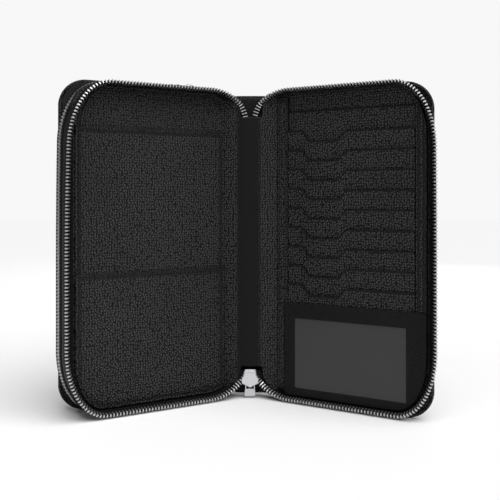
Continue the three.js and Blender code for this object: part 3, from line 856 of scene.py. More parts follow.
def window_loop(left, right, foot, top, far_u, far_v, near, side=18, turn=9):
    """u and v once round an upright rectangle, from the lower end of its right side: sides
    with even steps, and corners that are quarter ellipses. The lower right corner has half
    axes far_u and far_v, the other three are near. Equal counts let two loops be joined."""
    corners = [
        (right - near, top - near, near, near, 0),
        (left + near, top - near, near, near, 1),
        (left + near, foot + near, near, near, 2),
        (right - far_u, foot + far_v, far_u, far_v, 3),
    ]
    arcs = []
    for centre_u, centre_v, ru, rv, quarter in corners:
        angle = (quarter + np.linspace(0, 1, turn)) * math.pi / 2
        arcs.append(np.stack([centre_u + ru * np.cos(angle), centre_v + rv * np.sin(angle)], -1))
    runs = []
    for k in range(4):
        share = np.linspace(0, 1, side + 2)[1:-1, None]
        start, end = arcs[k - 1][-1], arcs[k][0]
        runs += [start + share * (end - start), arcs[k]]
    return np.concatenate(runs).T


def window_frame():
    """Loops between the pocket's outline and the window: at each share s of the way in, the
    point is outer + s (inner - outer), at a height that rolls over at both edges."""
    left, right, foot, top = WINDOW
    inner_u, inner_v = window_loop(left, right, foot, top, 1.2, 1.2, 1.2)
    outer_u, outer_v = window_loop(WINDOW_START, RIGHT_PANEL.reach, RIGHT_PANEL.foot, WINDOW_TOP,
                                   RIGHT_PANEL.corner_u, RIGHT_PANEL.corner_v, 1.5)
    share = np.concatenate([[0, 0.02, 0.06, 0.12], np.linspace(0.2, 0.8, 7), [0.88, 0.94, 0.98, 1]])
    share = share[:, None]
    u = outer_u + share * (inner_u - outer_u)
    v = outer_v + share * (inner_v - outer_v)
    away = np.minimum(np.hypot(u - outer_u, v - outer_v), np.hypot(u - inner_u, v - inner_v))
    height = rolled(away, 0.9, 0.9) - 0.16 * bell(away, 2.2, 0.7)
    front = RIGHT.place(u, FRAME_BACK + height, v)
    back = RIGHT.place(u[::-1], FRAME_BACK + 0 * height, v[::-1])
    rings = np.concatenate([front, back])
    rows, columns = rings.shape[:2]
    first = np.arange(columns)
    last = (rows - 1) * columns + first
    seal = np.stack([last, np.roll(last, -1), np.roll(first, -1), first], -1)
    surface = (np.concatenate([u, u[::-1]]), np.concatenate([v, v[::-1]]))
    return rings, np.concatenate([grid_faces(rows, columns, wrap=True), seal]), surface


rings, ring_faces, ring_surface = window_frame()
frame_piece = make_piece("id_window_frame", rings, ring_faces, TRIM, ["id_window_pocket"],
                         surface=ring_surface)
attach(frame_piece, "right_half")


def film_sheet():
    """The film: a flat grid 1.5 mm larger than the window all round, with a slow swell of a
    tenth of a millimetre."""
    left, right, foot, top = WINDOW
    u, v = np.meshgrid(np.linspace(left - 1.5, right + 1.5, 60),
                       np.linspace(foot - 1.5, top + 1.5, 40), indexing="ij")
    swell = 0.12 * np.sin(u / 17) * np.sin(v / 13 + 1)
    return closed_sheet(RIGHT.place(u, 5.62 + swell, v), RIGHT.place(u, 5.4 + swell, v))


film_piece = make_piece("id_window_film_sheet", *film_sheet(), FILM, ["id_window_film"])
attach(film_piece, "right_half")

HEM_FACE = 5.1
FRAME_FACE = 6.65
HEM_TOP = 222
stitching("right_pocket_stitching", "right_half", [
    along_rim(RIGHT, RIGHT_RIM, 2.4, 2.75, 26.0)[:26],
    upright(RIGHT, STRIP_START + 2.0, HEM_FACE, 12, HEM_TOP),
    upright(RIGHT, STRIP_END - 2.0, HEM_FACE, WINDOW_TOP + 1, HEM_TOP),
    upright(RIGHT, OUTER_STRIP + 2.0, HEM_FACE, WINDOW_TOP + 1, 206),
    upright(RIGHT, RIGHT_PANEL.reach - 2.0, HEM_FACE, WINDOW_TOP + 1, 186),
    level(RIGHT, WINDOW[2] - 3.4, FRAME_FACE, 30, 106),
    upright(RIGHT, WINDOW_START + 2.4, FRAME_FACE, 12, WINDOW_TOP - 2),
], RIGHT.face)

# %% [markdown]
# ## The zip
# A size five metal zip: nickel teeth, one each 2.35 mm, clamped to the corded edge of a
# woven tape. The open zip's rows run round both leaves and meet at the spine. A row is a
# path; a tooth is five sections of eight corners, set down at even steps.


# %% The path of a zip row
SWING_IN = 5.8
SWING_START = 3.4
LEAN_FOOT, LEAN_RISE = 100, 130
LEAN_START, LEAN_RUN = 20, 60


def rim_line(rim, start, tails=None, lean=0.0):
    """u and v along a row: the turn beside the spine, the top, the outer corners and the side,
    and back. With tails, their lengths at the top and at the foot, each end is a cubic that
    swings in from the turn until it stands upright. The point counts are fixed, so that two
    such lines match point for point. lean is how far the row leans in at the top: it grows as
    the square of the height over LEAN_FOOT and dies out towards the spine. Also gives the
    outward direction at each point."""
    leave = math.acos(max(-1.0, (start - rim.spine_u) / rim.spine_r))

    def arc(centre_u, centre_v, ru, rv, begin, end, count):
        """u = centre + ru cos(angle), v = centre + rv sin(angle), from begin to end."""
        angle = np.linspace(begin, end, count)
        return centre_u + ru * np.cos(angle), centre_v + rv * np.sin(angle)

    quarter = math.pi / 2
    corner = rim.reach - rim.corner_u
    high, low = rim.top - rim.corner_v, rim.foot + rim.corner_v
    turns = [
        arc(rim.spine_u, rim.top - rim.spine_r, rim.spine_r, rim.spine_r, leave, quarter, 24),
        (np.linspace(rim.spine_u, corner, 34)[1:-1], np.full(32, rim.top)),
        arc(corner, high, rim.corner_u, rim.corner_v, quarter, 0, 30),
        (np.full(40, rim.reach), np.linspace(high, low, 42)[1:-1]),
        arc(corner, low, rim.corner_u, rim.corner_v, 0, -quarter, 30),
        (np.linspace(corner, rim.spine_u, 34)[1:-1], np.full(32, rim.foot)),
        arc(rim.spine_u, rim.foot + rim.spine_r, rim.spine_r, rim.spine_r, -quarter, -leave, 24),
    ]
    u = np.concatenate([turn[0] for turn in turns])
    v = np.concatenate([turn[1] for turn in turns])
    if tails:
        leaving = np.array([-math.sin(leave), math.cos(leave)])
        t = np.linspace(0, 1, 15)[1:, None]
        weights = np.concatenate([3 * t * (1 - t) ** 2, 3 * t**2 * (1 - t), t**3], axis=1)
        top, foot = (
            weights @ [SWING_START * leaving, [-SWING_IN, -0.6 * tail], [-SWING_IN, -tail]]
            for tail in tails)
        u = np.concatenate([u[0] + top[::-1, 0], u, u[-1] + foot[:, 0]])
        v = np.concatenate([v[0] + top[::-1, 1], v, v[-1] - foot[:, 1]])
    high_share = np.clip((v - LEAN_FOOT) / LEAN_RISE, 0, 1) ** 2
    u = u - lean * high_share * np.clip((u - LEAN_START) / LEAN_RUN, 0, 1)
    step = unit(np.stack([np.gradient(u), np.gradient(v)], -1))
    return u, v, np.stack([-step[:, 1], step[:, 0]], -1)


def near_spine(u, begin=8.0, end=-4.2):
    """0 on the leaf, 1 at the spine, smooth between."""
    return smoothstep((begin - u) / (begin - end))


# %% Teeth
TOOTH_PITCH = 2.35
TOOTH_WIDTH = 1.05


def octagon(along, across):
    """A square of side 2 with its corners cut: the level sides end at along, the upright
    ones at across."""
    return np.array([[-1, -across], [-1, across], [-along, 1], [along, 1],
                     [1, across], [1, -across], [along, -1], [-along, -1]])


def tooth_shape():
    """A tooth in mm, with x along the row, y across it and z from the tape to the tip: wide
    jaws over the cord, a waist, and a domed head."""
    z = np.array([-1.9, -0.9, 0.2, 1.3, 1.9])
    thick = np.array([1.25, 1.35, 1.1, 1.3, 0.95])
    wide = np.array([0.5, 0.55, 0.42, 0.55, 0.34]) * TOOTH_WIDTH
    corner = octagon(0.6, 0.6)
    points = np.zeros((len(z), len(corner), 3))
    points[..., 0] = wide[:, None] * corner[:, 0]
    points[..., 1] = thick[:, None] * corner[:, 1]
    points[..., 2] = z[:, None]
    return points


def teeth_row(name, centres, pointing, phase, replaces, width=1.0):
    """Teeth along a line of centres (n, 3) in metres. pointing (n, 3) is the way their tips
    look; the row's direction and that give each tooth its frame."""
    at, along, stops = walk(centres, TOOTH_PITCH * MM, phase)
    tip = follow(stops, distance_along(centres), pointing)
    tip = unit(tip - np.einsum("ij,ij->i", tip, along)[:, None] * along)
    frames = np.stack([along, width * np.cross(tip, along), tip], 1) * MM
    shape = tooth_shape()
    cloud = many_copies(shape.reshape(-1, 3), frames, at)
    piece = make_piece(name, cloud, copied_faces(shape, len(at)), NICKEL, replaces)
    print(f"{name}: {len(at)} teeth")
    return piece


# %% Main zip rows and tapes
ROW_HEIGHT = 10.5
ROW_TURN_U = 1.0
ROW_TAILS = (17.0, 9.5)
FLEX = {LEFT: (-1.0, 3.0), RIGHT: (0.6, 1.0)}
SPINE_SIDE = {LEFT: -1.0, RIGHT: 1.0}
TOP_END_Y = -8.2
FOOT_END_Y = -10.2


def main_row_line(leaf, start, tails=None):
    """The outline of a leaf's own row: the shared one, a little wider or narrower and leaning
    in at the top as FLEX says."""
    wider, lean = FLEX[leaf]
    row = Rim(ROW.reach + wider, ROW.foot, ROW.top, ROW.corner_u, ROW.corner_v,
              ROW.spine_u, ROW.spine_r)
    return rim_line(row, start, tails, lean)


def main_row_points(leaf):
    """Centres of the open zip's teeth and the way they point. On the leaf the row stands
    ROW_HEIGHT over it and leans out; towards the spine it swings in to meet the other row,
    and at the foot it enters the slider, which is a little further forward."""
    u, v, outward = main_row_line(leaf, ROW_TURN_U, ROW_TAILS)
    share = near_spine(u)[:, None]
    points = leaf.place(u, ROW_HEIGHT, v)
    depth = np.where(v > 100, TOP_END_Y, FOOT_END_Y) * MM + MIDDLE[1]
    points[:, 1] = points[:, 1] * (1 - share[:, 0]) + depth * share[:, 0]
    tilt = np.radians(6 + 22 * np.abs(outward[:, :1]))
    out = outward[:, :1] * leaf.out + outward[:, 1:] * UP
    tips = np.cos(tilt) * leaf.face + np.sin(tilt) * out
    inward = np.array([-SPINE_SIDE[leaf], 0, 0])
    return points, unit(tips * (1 - share) + inward * share), share


for leaf, side, body, phase in ((LEFT, "left", "middle_leaf", 0.25),
                                (RIGHT, "right", "right_half", 0.75)):
    centres, tips, _ = main_row_points(leaf)
    row = teeth_row(f"main_zip_row_{side}", centres, tips, phase,
                    [f"main_zip_teeth_{side}", f"main_zip_top_end_{side}",
                     f"main_zip_foot_end_{side}"])
    leaf.place(15, ROW_HEIGHT, 0)
    leaf.place(-3, ROW_HEIGHT, 0)
    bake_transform(row)


def main_tape(leaf, rim, foot_height):
    """The tape of the open zip: a wall from the leaf's rim to just behind the teeth, thicker
    at the cord. Beside the spine it lies flat behind the gutter lining. Each station is a
    line of points and half the tape's thickness there."""
    u, v, _ = rim_line(rim, ROW_TURN_U + 1.0, tails=ROW_TAILS)
    centres, tips, share = main_row_points(leaf)
    foot = leaf.place(u, foot_height, v)
    flat = centres + np.array([SPINE_SIDE[leaf] * 5.6, 0.9, 0]) * MM
    foot = foot * (1 - share) + flat * share
    cord = centres - 1.1 * MM * tips
    thick = unit(np.cross(np.gradient(centres, axis=0), tips)) * MM
    edge = cord + 1.8 * MM * tips
    mid = foot + 0.5 * (cord - foot) + 0.25 * thick * SPINE_SIDE[leaf]
    stations = [
        (foot, 0.3),
        (mid, 0.35),
        (cord - 1.3 * MM * tips, 0.5),
        (cord - 0.3 * MM * tips, 1.1),
        (edge, 0.4),
    ]
    one = [place + part * thick for place, part in stations]
    other = [place - part * thick for place, part in reversed(stations)]
    return closed_tube(np.stack(one + other, 1))


for leaf, side, body, rim, height in ((LEFT, "left", "middle_leaf", LEFT_RIM, 0.2),
                                      (RIGHT, "right", "right_half", RIGHT_RIM, 2.8)):
    tape = make_piece(f"main_zip_tape_{side}_woven", *main_tape(leaf, rim, height), TAPE,
                      [f"main_zip_tape_{side}"])
    leaf.place(15, ROW_HEIGHT, 0)
    leaf.place(-3, ROW_HEIGHT, 0)
    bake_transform(tape)

# %% [markdown]
# The outer zip is closed: its two rows stand face to face and their teeth pass between each
# other, half a pitch apart. Between the two zips runs a strip of leather, the gusset, that
# makes the side wall of the left half.

# %% Outer zip
REAR_START = 3.0
REAR_LEAN = 1.4
REAR_MIDDLE = -10.9
TOOTH_REACH = 1.9
MESH_DEPTH = 0.7


def rear_row_height(sign):
    """Height over the leaf of the front row (sign 1) or the rear row (sign -1)."""
    return REAR_MIDDLE + sign * (TOOTH_REACH - MESH_DEPTH)


REAR_U, REAR_V, REAR_OUTWARD = rim_line(REAR_ROW, REAR_START, lean=REAR_LEAN)
for side, sign, phase, body in (("front", 1, 0.25, "middle_leaf"), ("rear", -1, 0.75, "outer_cover")):
    centres = LEFT.place(REAR_U, rear_row_height(sign), REAR_V)
    pointing = np.broadcast_to(-sign * LEFT.face, centres.shape)
    row = teeth_row(f"outer_zip_row_{side}", centres, pointing, phase,
                    [f"outer_zip_teeth_{side}"], width=0.8)
    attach(row, body)


def outer_tape(sign, foot_height):
    """A tape of the closed zip: from the leaf's rim out to the row's line, then square over
    to the teeth."""
    u, v, _ = rim_line(REAR_RIM, REAR_RIM.spine_u - REAR_RIM.spine_r)
    foot = LEFT.place(u, foot_height, v)
    out = (REAR_OUTWARD[:, :1] * LEFT.out + REAR_OUTWARD[:, 1:] * UP) * MM
    row = rear_row_height(sign)
    heights = (foot_height - sign * 1.0, (foot_height + row) / 2, row + sign * 1.2, row + sign * 0.2)
    lines = [foot] + [LEFT.place(REAR_U, height, REAR_V) for height in heights]
    thick = (0.35, 0.35, 0.35, 0.6, 0.35)
    one = [line + part * out for line, part in zip(lines, thick)]
    other = [line - part * out for line, part in zip(lines[::-1], thick[::-1])]
    return closed_tube(np.stack(one + other, 1))


front_tape = make_piece("outer_zip_tape_front_woven", *outer_tape(1, -3.7), TAPE,
                        ["outer_zip_tape_front"])
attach(front_tape, "middle_leaf")
rear_tape = make_piece("outer_zip_tape_rear_woven", *outer_tape(-1, -19.1), TAPE,
                       ["outer_zip_tape_rear"])
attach(rear_tape, "outer_cover")

GUSSET_FRONT = 7.6
GUSSET_BACK = -7.4


def gusset():
    """The side wall between the zips: a band whose section runs from the main tape's outer
    face back to the outer tape. It bows out by 0.9 mm and starts 0.6 mm inside the rows."""
    main_u, main_v, main_out = main_row_line(LEFT, 9.0)
    rear_u, rear_v, _ = rim_line(REAR_ROW, 7.0, lean=REAR_LEAN)
    share = np.array([0, 0.06, 0.2, 0.4, 0.6, 0.8, 0.94, 1.0])[:, None]
    u = main_u + share * (rear_u - main_u)
    v = main_v + share * (rear_v - main_v)
    w = GUSSET_FRONT + share * (GUSSET_BACK - GUSSET_FRONT)
    bow = 0.9 * np.sin(share * math.pi) - 0.6
    out = main_out[:, :1] * LEFT.out + main_out[:, 1:] * UP
    outer = LEFT.place(u, w, v) + (bow * MM)[..., None] * out
    inner = outer - 0.9 * MM * out
    along = np.cumsum(np.hypot(np.gradient(main_u), np.gradient(main_v)))
    across = np.concatenate([w, w[::-1]])
    surface = (along[:, None] + 0 * across.T, across.T + 0 * along[:, None])
    return *closed_tube(np.concatenate([outer, inner[::-1]]).transpose(1, 0, 2)), surface


points, faces, surface = gusset()
gusset_piece = make_piece("left_gusset", points, faces, TRIM, surface=surface)
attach(gusset_piece, "middle_leaf")

# %% [markdown]
# ## The outer leather
# One hide wraps the organizer: the right cover, the spine, the wall of the outer
# compartment and the outer cover. Its plan is a line with three soft bends at the folds.
# The line is cut in the middle of the spine, at the left fold and in the middle of the
# wall, so that each length bends across just one hinge. Round the covers the edge is
# turned inwards over the board.

# %% The wrap
LEATHER = 1.2
TURNED = 2.7
TURN_WIDTH = 2.4
SPINE_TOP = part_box("spine_cover")[1].z / MM
SPINE_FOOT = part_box("spine_cover")[0].z / MM
BEND_POINTS = 15
EASE_OVER = 16


def plan(leaf, u, w):
    """A point of the plan, in mm from the middle of the spine."""
    return ((leaf.place(u, w, 0) - MIDDLE) / MM)[:2]


def bend_points(before, corner, after, size):
    """A soft bend: a parabola from size before the corner to size after it."""
    start = corner + size * unit(before - corner)
    end = corner + size * unit(after - corner)
    t = np.linspace(0, 1, BEND_POINTS)[:, None]
    return (1 - t) ** 2 * start + 2 * t * (1 - t) * corner + t**2 * end


def wrap_plan():
    """The plan line of the outer face, from the right cover's edge to the outer cover's, the
    distance along it of each point and of each fold, and where it is cut: at both ends, mid
    spine, left fold and mid wall."""
    right_end = plan(RIGHT, RIGHT_COVER.reach, -LEATHER)
    left_end = plan(LEFT, REAR_COVER.reach, -REAR_DEPTH - LEATHER)
    corners = [
        np.array([SPINE_HALF + LEATHER * math.tan(math.radians(15)), LEATHER]),
        np.array([-SPINE_HALF + LEATHER * math.tan(math.radians(30)), LEATHER]),
        plan(LEFT, -LEATHER, -REAR_DEPTH - LEATHER),
    ]
    bends = [
        bend_points(right_end, corners[0], corners[1], 4.0),
        bend_points(corners[0], corners[1], corners[2], 5.0),
        bend_points(corners[1], corners[2], left_end, 4.5),
    ]
    line = np.concatenate([[right_end], *bends, [left_end]])
    reach = distance_along(line)
    middles = [reach[1 + BEND_POINTS * k + BEND_POINTS // 2] for k in range(3)]
    cuts = [0, (middles[0] + middles[1]) / 2, middles[1], (middles[1] + middles[2]) / 2, reach[-1]]
    return line, reach, middles, cuts


PLAN, PLAN_REACH, PLAN_FOLDS, PLAN_CUTS = wrap_plan()


def blend_heights(s, right, spine, left):
    """A height that is right on the right cover, spine between the folds and left on the
    outer cover, changing smoothly over 16 mm beside the folds."""
    a = smoothstep((s - PLAN_FOLDS[0] + EASE_OVER) / EASE_OVER)
    b = smoothstep((s - PLAN_FOLDS[2]) / EASE_OVER)
    return right * (1 - a) + spine * a * (1 - b) + left * b


def corner_shrink(s):
    """How far the top and foot draw in near either far edge: the rounded corner's circle."""
    radius = REAR_COVER.corner_u
    near = np.minimum(s, PLAN_REACH[-1] - s)
    return radius * (1 - quarter(near / radius))


def wrap_piece(name, begin, end, replaces):
    """A length of the wrap between two distances along the plan line. The outer face is the
    line; the inner one is a leather's thickness in, or the turned edge's near a border."""
    length = PLAN_REACH[-1]
    radius = REAR_COVER.corner_u
    turn = radius * (1 - np.cos(np.linspace(0, math.pi / 2, 16)))
    border = np.array([0.0, 0.2, 0.5, 1.0, 1.8, 2.3, 2.5])
    even = np.arange(begin, end, 2.4)
    folds = np.concatenate([np.linspace(fold - 7, fold + 7, 25) for fold in PLAN_FOLDS])
    marks = np.concatenate([even, turn, border, length - turn, length - border, folds, [begin, end]])
    s = np.unique(marks[(marks >= begin) & (marks <= end)].round(4))
    s = s[np.concatenate([[True], np.diff(s) > 0.05])]
    s[-1] = end
    across = follow(s, PLAN_REACH, PLAN)
    heading = unit(follow(s + 0.4, PLAN_REACH, PLAN) - follow(s - 0.4, PLAN_REACH, PLAN))
    inward = np.stack([-heading[:, 1], heading[:, 0]], -1)
    drawn = corner_shrink(s)
    foot = (blend_heights(s, RIGHT_COVER.foot, SPINE_FOOT, REAR_COVER.foot) + drawn)[:, None]
    top = (blend_heights(s, RIGHT_COVER.top, SPINE_TOP, REAR_COVER.top) - drawn)[:, None]
    t = rows_between((0.001, 0.0025, 0.005, 0.009, 0.0105), 80)[None]
    v = foot + t * (top - foot)
    far = np.minimum(s, length - s)[:, None]
    edge = np.minimum.reduce([v - foot, top - v, far + 0 * v])
    on_cover = np.clip((np.abs(s - (PLAN_FOLDS[0] + PLAN_FOLDS[2]) / 2) - 34) / 6, 0, 1)[:, None]
    lip = on_cover * np.clip((TURN_WIDTH - edge) / 0.3, 0, 1)
    inner = LEATHER + (TURNED - LEATHER) * lip
    outer = 0.9 - rolled(edge, 0.9, 0.9)

    def lay(depth):
        """The sheet's grid at a depth in from the plan line, in metres."""
        flat = across[:, None] + depth[..., None] * inward[:, None]
        return MIDDLE + MM * np.concatenate([flat, v[..., None]], -1)

    inner = np.maximum(inner - 0.45 * np.clip(1 - edge / 0.5, 0, 1), outer + 0.3)
    return make_piece(name, *closed_sheet(lay(outer), lay(inner)), PEBBLED, replaces,
                      surface=(s[:, None] + 0 * v, v))


# Each length: its name, the node it stands for, its two bodies, its fold, and how far
# before and after the fold it bends.
WRAPS = (
    ("right_cover_leather", "right_cover", "right_half", "spine", 0, -6, 6),
    ("spine_leather", "spine_cover", "spine", "middle_leaf", 1, -7, 0),
    ("outer_wall_leather", "outer_spine_cover", "middle_leaf", "outer_spine", 1, 0, 7),
    ("outer_cover_leather", "outer_cover", "outer_spine", "outer_cover", 2, -6, 6),
)
for k, (name, node, one, other, fold, before, after) in enumerate(WRAPS):
    piece = wrap_piece(name, PLAN_CUTS[k], PLAN_CUTS[k + 1], [node])
    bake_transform(piece)

# %% Linings of the outer compartment
rear_lining = leaf_sheet("outer_cover_lining_leather", LEFT, REAR_COVER.inset(2.0), 2.0, LINED,
                         -19.4, -20.2, replaces=["outer_cover_lining"])
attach(rear_lining, "outer_cover")


def wall_lining():
    """The lining of the outer compartment's spine wall: an upright sheet with rolled edges."""
    low, high = (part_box("outer_spine_lining")[k].z / MM for k in (0, 1))
    front, back = -4.2, -19.5
    w = np.linspace(front, back, 16)[:, None]
    v = (low + rows_between((0.0015, 0.004), 50) * (high - low))[None]
    edge = np.minimum.reduce([v - low + 0 * w, high - v + 0 * w, front - w + 0 * v, w - back + 0 * v])
    sheet = closed_sheet(LEFT.place(0.3 + rolled(edge, LINING), w, v), LEFT.place(0.3, w, v))
    return *sheet, (w + 0 * v, v + 0 * w)


points, faces, surface = wall_lining()
wall = make_piece("outer_spine_lining_leather", points, faces, LINED, ["outer_spine_lining"], surface)
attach(wall, "outer_spine")

# %% [markdown]
# ## The gutter
# Inside the spine a lining runs from leaf to leaf like the gutter of a book. It is the same
# pebbled leather as the panels, but where it folds the grain is pressed flat, which an
# attribute on its points tells the material. It is cut down the middle here, so that each
# half bends across one fold. The zip's rows slip behind it at the top and the foot.

# %% Gutter lining
GUTTER_MIDDLE = -1.1
GUTTER_DEPTH = 10.1
GUTTER_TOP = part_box("gutter_lining")[1].z / MM - 1.5
GUTTER_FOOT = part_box("gutter_lining")[0].z / MM - 0.5
SMOOTH_HALF = 4.2
SMOOTH_EASE = 5.5
GUTTER_GRAIN = 0.92
FOOT_WIDTH = 14
NECK = {LEFT: (-6.8, 9.0), RIGHT: (9.0, 5.0)}


def gutter_half(leaf, start_u, start_w, top_v, foot_v):
    """Half of the gutter lining. Its plan is a cubic from the leaf's panel, where it leaves
    along the leaf, to the middle of the gutter, where it runs level. Its top and foot are
    straight in the middle, and past the neck they rise and fall as a quarter ellipse."""
    sign = SPINE_SIDE[leaf]
    near = plan(leaf, start_u, start_w)
    far = np.array([GUTTER_MIDDLE, -GUTTER_DEPTH])
    knee = np.array([GUTTER_MIDDLE + sign * 6.5, -GUTTER_DEPTH])
    s = rows_between((0.015, 0.04), 60)[:, None]
    line = (1 - s) ** 3 * near + 3 * s * (1 - s) ** 2 * (near + 0.45 * (knee - near))
    line = line + 3 * s**2 * (1 - s) * knee + s**3 * far
    neck, width = NECK[leaf]
    past = np.clip(sign * (line[:, :1] - neck), 0, None)
    rise = quarter(past / width)
    fall = quarter(past / FOOT_WIDTH)
    top = GUTTER_TOP + rise * (top_v - GUTTER_TOP)
    foot = GUTTER_FOOT + fall * (foot_v - GUTTER_FOOT)
    t = rows_between((0.0015, 0.004, 0.007), 90)[None]
    v = foot + t * (top - foot)
    edge = np.minimum(v - foot, top - v)
    along = unit(np.gradient(line, axis=0))
    forward = np.stack([-along[:, 1], along[:, 0], 0 * along[:, 0]], -1)[:, None]
    forward = np.where(forward[..., 1:2] > 0, -forward, forward)
    spot = np.concatenate([np.broadcast_to(line[:, None], (*v.shape, 2)), v[..., None]], -1)
    lift = rolled(edge, LINING, 0.7)[..., None] * forward
    points, faces = closed_sheet(MIDDLE + MM * (spot + lift), MIDDLE + MM * spot)
    # The middle of the gutter keeps no grain, so it takes the dark crease colour all over: painted
    # shade down the fold.
    away = np.abs((points[:, 0] - MIDDLE[0]) / MM - GUTTER_MIDDLE)
    grain = smoothstep(GUTTER_GRAIN * np.clip((away - SMOOTH_HALF) / SMOOTH_EASE, 0, 1))
    return points, faces, grain, (distance_along(line)[:, None] + 0 * v, v)


for leaf, side, start_u, start_w, body in ((LEFT, "left", LEFT_START + 0.6, -0.7, "middle_leaf"),
                                           (RIGHT, "right", STRIP_START + 0.8, 2.9, "right_half")):
    points, faces, grain, surface = gutter_half(leaf, start_u, start_w, 228.8, 5.0)
    strip = make_piece(f"gutter_lining_{side}", points, faces, PEBBLED, ["gutter_lining"],
                       surface, grain)
    leaf.place(start_u, start_w, 0)
    SPINE.place(GUTTER_MIDDLE + SPINE_SIDE[leaf] * 4, GUTTER_DEPTH, 0)
    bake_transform(strip)

# %% Spine lining
def spine_lining():
    """The lining on the inner face of the spine: an upright sheet with rolled edges, a little
    lower than the spine leather, whose turned edge shows above it."""
    x = np.linspace(-9.5, 9.5, 21)[:, None]
    v = (SPINE_FOOT + 2.2 + rows_between((0.0015, 0.004), 60) * (SPINE_TOP - SPINE_FOOT - 4.6))[None]
    edge = np.minimum.reduce([v - v.min() + 0 * x, v.max() - v + 0 * x, 9.5 - np.abs(x) + 0 * v])
    sheet = closed_sheet(SPINE.place(x, 1.5 + rolled(edge, 0.7), v), SPINE.place(x, 1.5 + 0 * edge, v))
    return *sheet, (x + 0 * v, v + 0 * x)


points, faces, surface = spine_lining()
inner_spine = make_piece("spine_lining", points, faces, TRIM, surface=surface)
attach(inner_spine, "spine")

# %% [markdown]
# ## Sliders and pulls
# A slider is cast: two plates joined by a neck, lips that hold the rows together, and a
# crown on the outside for the pull. The plates are built as loops of one outline, each
# scaled and raised so that the edge rounds over.


# %% Slider parts
def slider_outline(count=112):
    """The slider plate's outline in mm as x and z: straight at its narrow top, wide at its
    middle, with two shoulders and a round tip below. Width is a smooth curve over height."""
    marks = np.array([
        [0, 6.3], [3.9, 6.3], [4.35, 6.0], [4.4, 4.2], [4.7, 3.0], [5.6, 1.3], [6.2, 0.3],
        [6.3, -0.7], [6.15, -2.6], [5.8, -3.5], [5.0, -4.0], [3.0, -4.7], [1.7, -5.5],
        [0.9, -6.1], [0, -6.3],
    ])
    whole = np.concatenate([marks, (marks * [-1, 1])[-2:0:-1]])
    closed = np.concatenate([whole, whole[:1]])
    reach = distance_along(closed)
    loop = follow(np.linspace(0, reach[-1], count, endpoint=False), reach, closed)
    return (np.roll(loop, 1, 0) + 2 * loop + np.roll(loop, -1, 0)) / 4


def rounded_plate(loop, low, high, round_over=0.3):
    """A plate between y = low and y = high: loops scaled about their middle, the last ones
    shrunk to a point, so the whole is closed. Returns points in mm and quads."""
    span = np.abs(loop).max()
    step = round_over / span
    half = np.array([1e-3, 0.5, 1 - 2 * step, 1 - 0.6 * step, 1])
    scale = np.concatenate([half, half[::-1]])
    rise = np.array([0, 0, 0, 0.12, 0.35])
    heights = np.concatenate([low + rise * round_over / 0.35, (high - rise * round_over / 0.35)[::-1]])
    rings = np.zeros((len(scale), len(loop), 3))
    rings[..., 0] = scale[:, None] * loop[:, 0]
    rings[..., 1] = heights[:, None]
    rings[..., 2] = scale[:, None] * loop[:, 1]
    return closed_tube(rings)


def rounded_bar(path, wide, thick, side):
    """A flat bar along a path (n, 3) in mm: its section is an octagon, wide along side and
    thick across it."""
    along = unit(np.gradient(path, axis=0))
    side = unit(np.broadcast_to(side, along.shape) + 0.0)
    over = np.cross(along, side)
    corner = octagon(0.75, 0.55)
    section = wide / 2 * corner[:, :1, None] * side[None] + thick / 2 * corner[:, 1:, None] * over[None]
    return closed_tube((path[None] + section).transpose(1, 0, 2))


def join_parts(parts):
    """Several closed skins as one list of points and one list of quads."""
    offset = 0
    points, faces = [], []
    for part_points, part_faces in parts:
        if volume_of(part_points - part_points.mean(0), part_faces) < 0:
            part_faces = part_faces[:, ::-1]
        points.append(part_points)
        faces.append(part_faces + offset)
        offset += len(part_points)
    return np.concatenate(points), np.concatenate(faces)


BAY = 1.4
PLATE = 1.0
CROWN_AT = 0.9
CROWN_HALF = 3.1


def slider_parts(neck):
    """Plates, lips, neck and crown of a slider in its own frame: x across the rows, y outwards
    and z along the chain with the narrow end up."""
    loop = slider_outline()
    lip_z = np.linspace(-2.6, 5.2, 12)
    lip_x = np.interp(lip_z, [-2.6, 0.2, 2.4, 5.2], [5.6, 5.5, 4.4, 3.9])
    parts = [rounded_plate(loop, -BAY - PLATE, -BAY), rounded_plate(loop, BAY, BAY + PLATE)]
    for sign in (-1, 1):
        for y in (-BAY - 0.02, BAY + 0.02):
            path = np.stack([sign * lip_x, 0 * lip_z + y * 0.85, lip_z], -1)
            parts.append(rounded_bar(path, 0.8, 0.75, [1, 0, 0]))
    neck_path = np.array([[0, y, -3.2] for y in np.linspace(-BAY - 0.4, BAY + 0.4, 4)])
    parts.append(rounded_bar(neck_path, neck, 3.4, [1, 0, 0]))
    angle = np.linspace(0, math.pi, 15)
    base = BAY + PLATE
    arch_z = CROWN_AT + CROWN_HALF * np.sign(np.cos(angle)) * np.abs(np.cos(angle)) ** 0.45
    arch = np.stack([0 * angle, base - 0.3 + 2.25 * np.sin(angle) ** 0.55, arch_z], -1)
    parts.append(rounded_bar(arch, 2.3, 0.7, [1, 0, 0]))
    return join_parts(parts)


